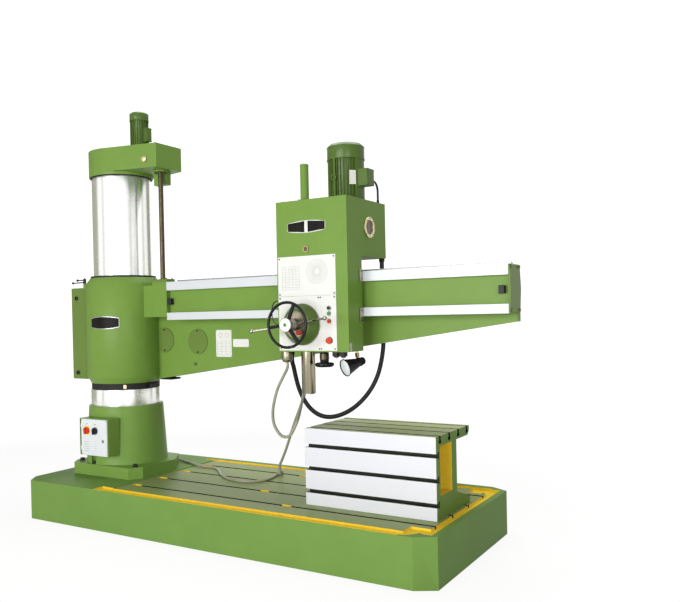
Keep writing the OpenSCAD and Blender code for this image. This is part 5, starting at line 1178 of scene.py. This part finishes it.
lines += [roundBox(x - 0.014, x + 0.014, 1.055, 1.063, 0.002) for x in cabinet["labelXs"]]
add("doorLines", inkGrey, "cabinet_door", *[(slab, line, door, 0.0, 0.0004) for line in lines])
x, z = cabinet["lock"]
add("doorLock", polishedSteel, "cabinet_door",
    (turned, [(0, 0.0), (0.018, 0.0), (0.018, 0.006), (0.014, 0.009), (0, 0.009)], door, x, z, 32),
    (slab, box(x - 0.004, x + 0.004, z - 0.012, z + 0.012), door, 0.008, 0.011), edge=0.0006)
add("selectorRing", blackPlastic, "cabinet_door",
    (hoop, 0.0400, 0.0445, 0.0, 0.0002, door, *cabinet["selector"], 36))
caps = [(turned, cabinet["hingeCap"], onTop(z + cabinet["hingeHigh"]), *cabinet["hinge"], 20)
        for z in cabinet["hingeZs"]]
add("hingeCaps", polishedSteel, "cabinet_door", *caps)
points = [door(u, v, 0) for u, v in pairs(cabinet["screwXs"], cabinet["screwZs"])]
screws("doorScrews", slotHead(0.006, 0.003), points, turnFront, gearSteel, "cabinet_door")
print("electric box done")

# Stage: pale floor, soft lights, and dark flags that only polished metal sees
studio = {"floor": 120, "floorShade": rgb(0.62, 0.62, 0.60), "glow": 1.14,
          "nearShare": 0.78, "near": 5.0, "far": 11.0, "ambient": 0.20, "background": 1.16}
lights = {
    "keyLight": {"at": (1.5, -15.0, 3.2), "target": (2.0, 0, 1.8), "size": (9.0, 6.0), "power": 1580},
    "fillLight": {"at": (9.6, -7.4, 3.2), "target": (2.4, 0, 2.4), "size": (4.0, 3.0), "power": 230},
    "topLight": {"at": (2.0, 2.0, 9.5), "target": (2.0, 0, 1.6), "size": (7.0, 5.0), "power": 460},
}
# each flag stands in the direction that one dark band of the column mirrors: degrees, distance, width, shade
flags = {
    "flagLeft": (178, 5.4, 5.8, rgb(0.36, 0.36, 0.26)),
    "flagSeam": (-124, 5.4, 0.55, rgb(0.45, 0.45, 0.38)),
    "flagMiddle": (-13, 7.6, 1.1, rgb(0.36, 0.37, 0.32)),
    "flagRight": (44, 7.2, 1.0, rgb(0.50, 0.49, 0.38)),
    "flagBack": (82, 6.6, 3.0, rgb(0.26, 0.26, 0.18)),
}
flagHeight = {"middle": 3.2, "high": 8.0}


def card(name, wide, high, finish):
    mesh = bpy.data.meshes.new(name)
    corners = box(-wide / 2, wide / 2, -high / 2, high / 2)
    mesh.from_pydata([(u, v, 0) for u, v in corners], [], [(0, 1, 2, 3)])
    mesh.materials.append(finish)
    made = addObject(name, mesh)
    return made


def look(at, target):
    return (Vector(target) - Vector(at)).to_track_quat("-Z", "Y")


# 1 for what the camera sees, straight or in a mirror or through glass
def seenRay(tree):
    ray = addNode(tree, "ShaderNodeLightPath").outputs
    mirrored = maths(tree, "MAXIMUM", ray["Is Glossy Ray"], ray["Is Transmission Ray"])
    return maths(tree, "MAXIMUM", ray["Is Camera Ray"], mirrored)


# near the machine a part of the floor's own light keeps the shadow
floorPale, tree, shader = startFinish("floorPale", Roughness=0.9, Base_Color=studio["floorShade"])
glow = addNode(tree, "ShaderNodeEmission", {"Strength": studio["glow"]})
both = addNode(tree, "ShaderNodeMixShader")
away = addNode(tree, "ShaderNodeVectorMath", operation="LENGTH")
feed(tree, objectPlace(tree), away.inputs[0])
share = ranged(tree, away.outputs["Value"], studio["near"], studio["far"], studio["nearShare"], 1.0)
feed(tree, maths(tree, "MULTIPLY", seenRay(tree), share), both.inputs[0])
feed(tree, shader.outputs[0], both.inputs[1])
feed(tree, glow.outputs[0], both.inputs[2])
feed(tree, both.outputs[0], tree.nodes["Material Output"].inputs["Surface"])
card("floor", studio["floor"], studio["floor"], floorPale)

world = bpy.data.worlds.new("studio")
scene.world = world
world.use_nodes = True
tree = world.node_tree
base = tree.nodes["Background"]
base.inputs["Color"].default_value = white
level = mixed(tree, seenRay(tree), studio["ambient"], studio["background"], "FLOAT")
feed(tree, level, base.inputs["Strength"])

for name, facts in lights.items():
    light = bpy.data.lights.new(name, "AREA")
    light.shape = "RECTANGLE"
    light.size, light.size_y = facts["size"]
    light.energy = facts["power"]
    softBox = addObject(name, light)
    softBox.location = facts["at"]
    softBox.rotation_euler = look(facts["at"], facts["target"]).to_euler()

for name, (turn, distance, wide, shade) in flags.items():
    cloth = startFinish(
        name + "Cloth", Roughness=1.0, Base_Color=rgb(0, 0, 0), Specular_IOR_Level=0.0,
        Emission_Color=shade, Emission_Strength=1.0)[0]
    a = math.radians(turn)
    spot = (distance * math.cos(a), distance * math.sin(a), flagHeight["middle"])
    flag = card(name, wide, flagHeight["high"], cloth)
    aim = look(spot, (0, 0, flagHeight["middle"]))
    flag.matrix_world = Matrix.Translation(spot) @ aim.to_matrix().to_4x4()
    flag.visible_camera = False
    flag.visible_diffuse = False
    flag.visible_shadow = False
    flag.visible_transmission = False
print("stage done")
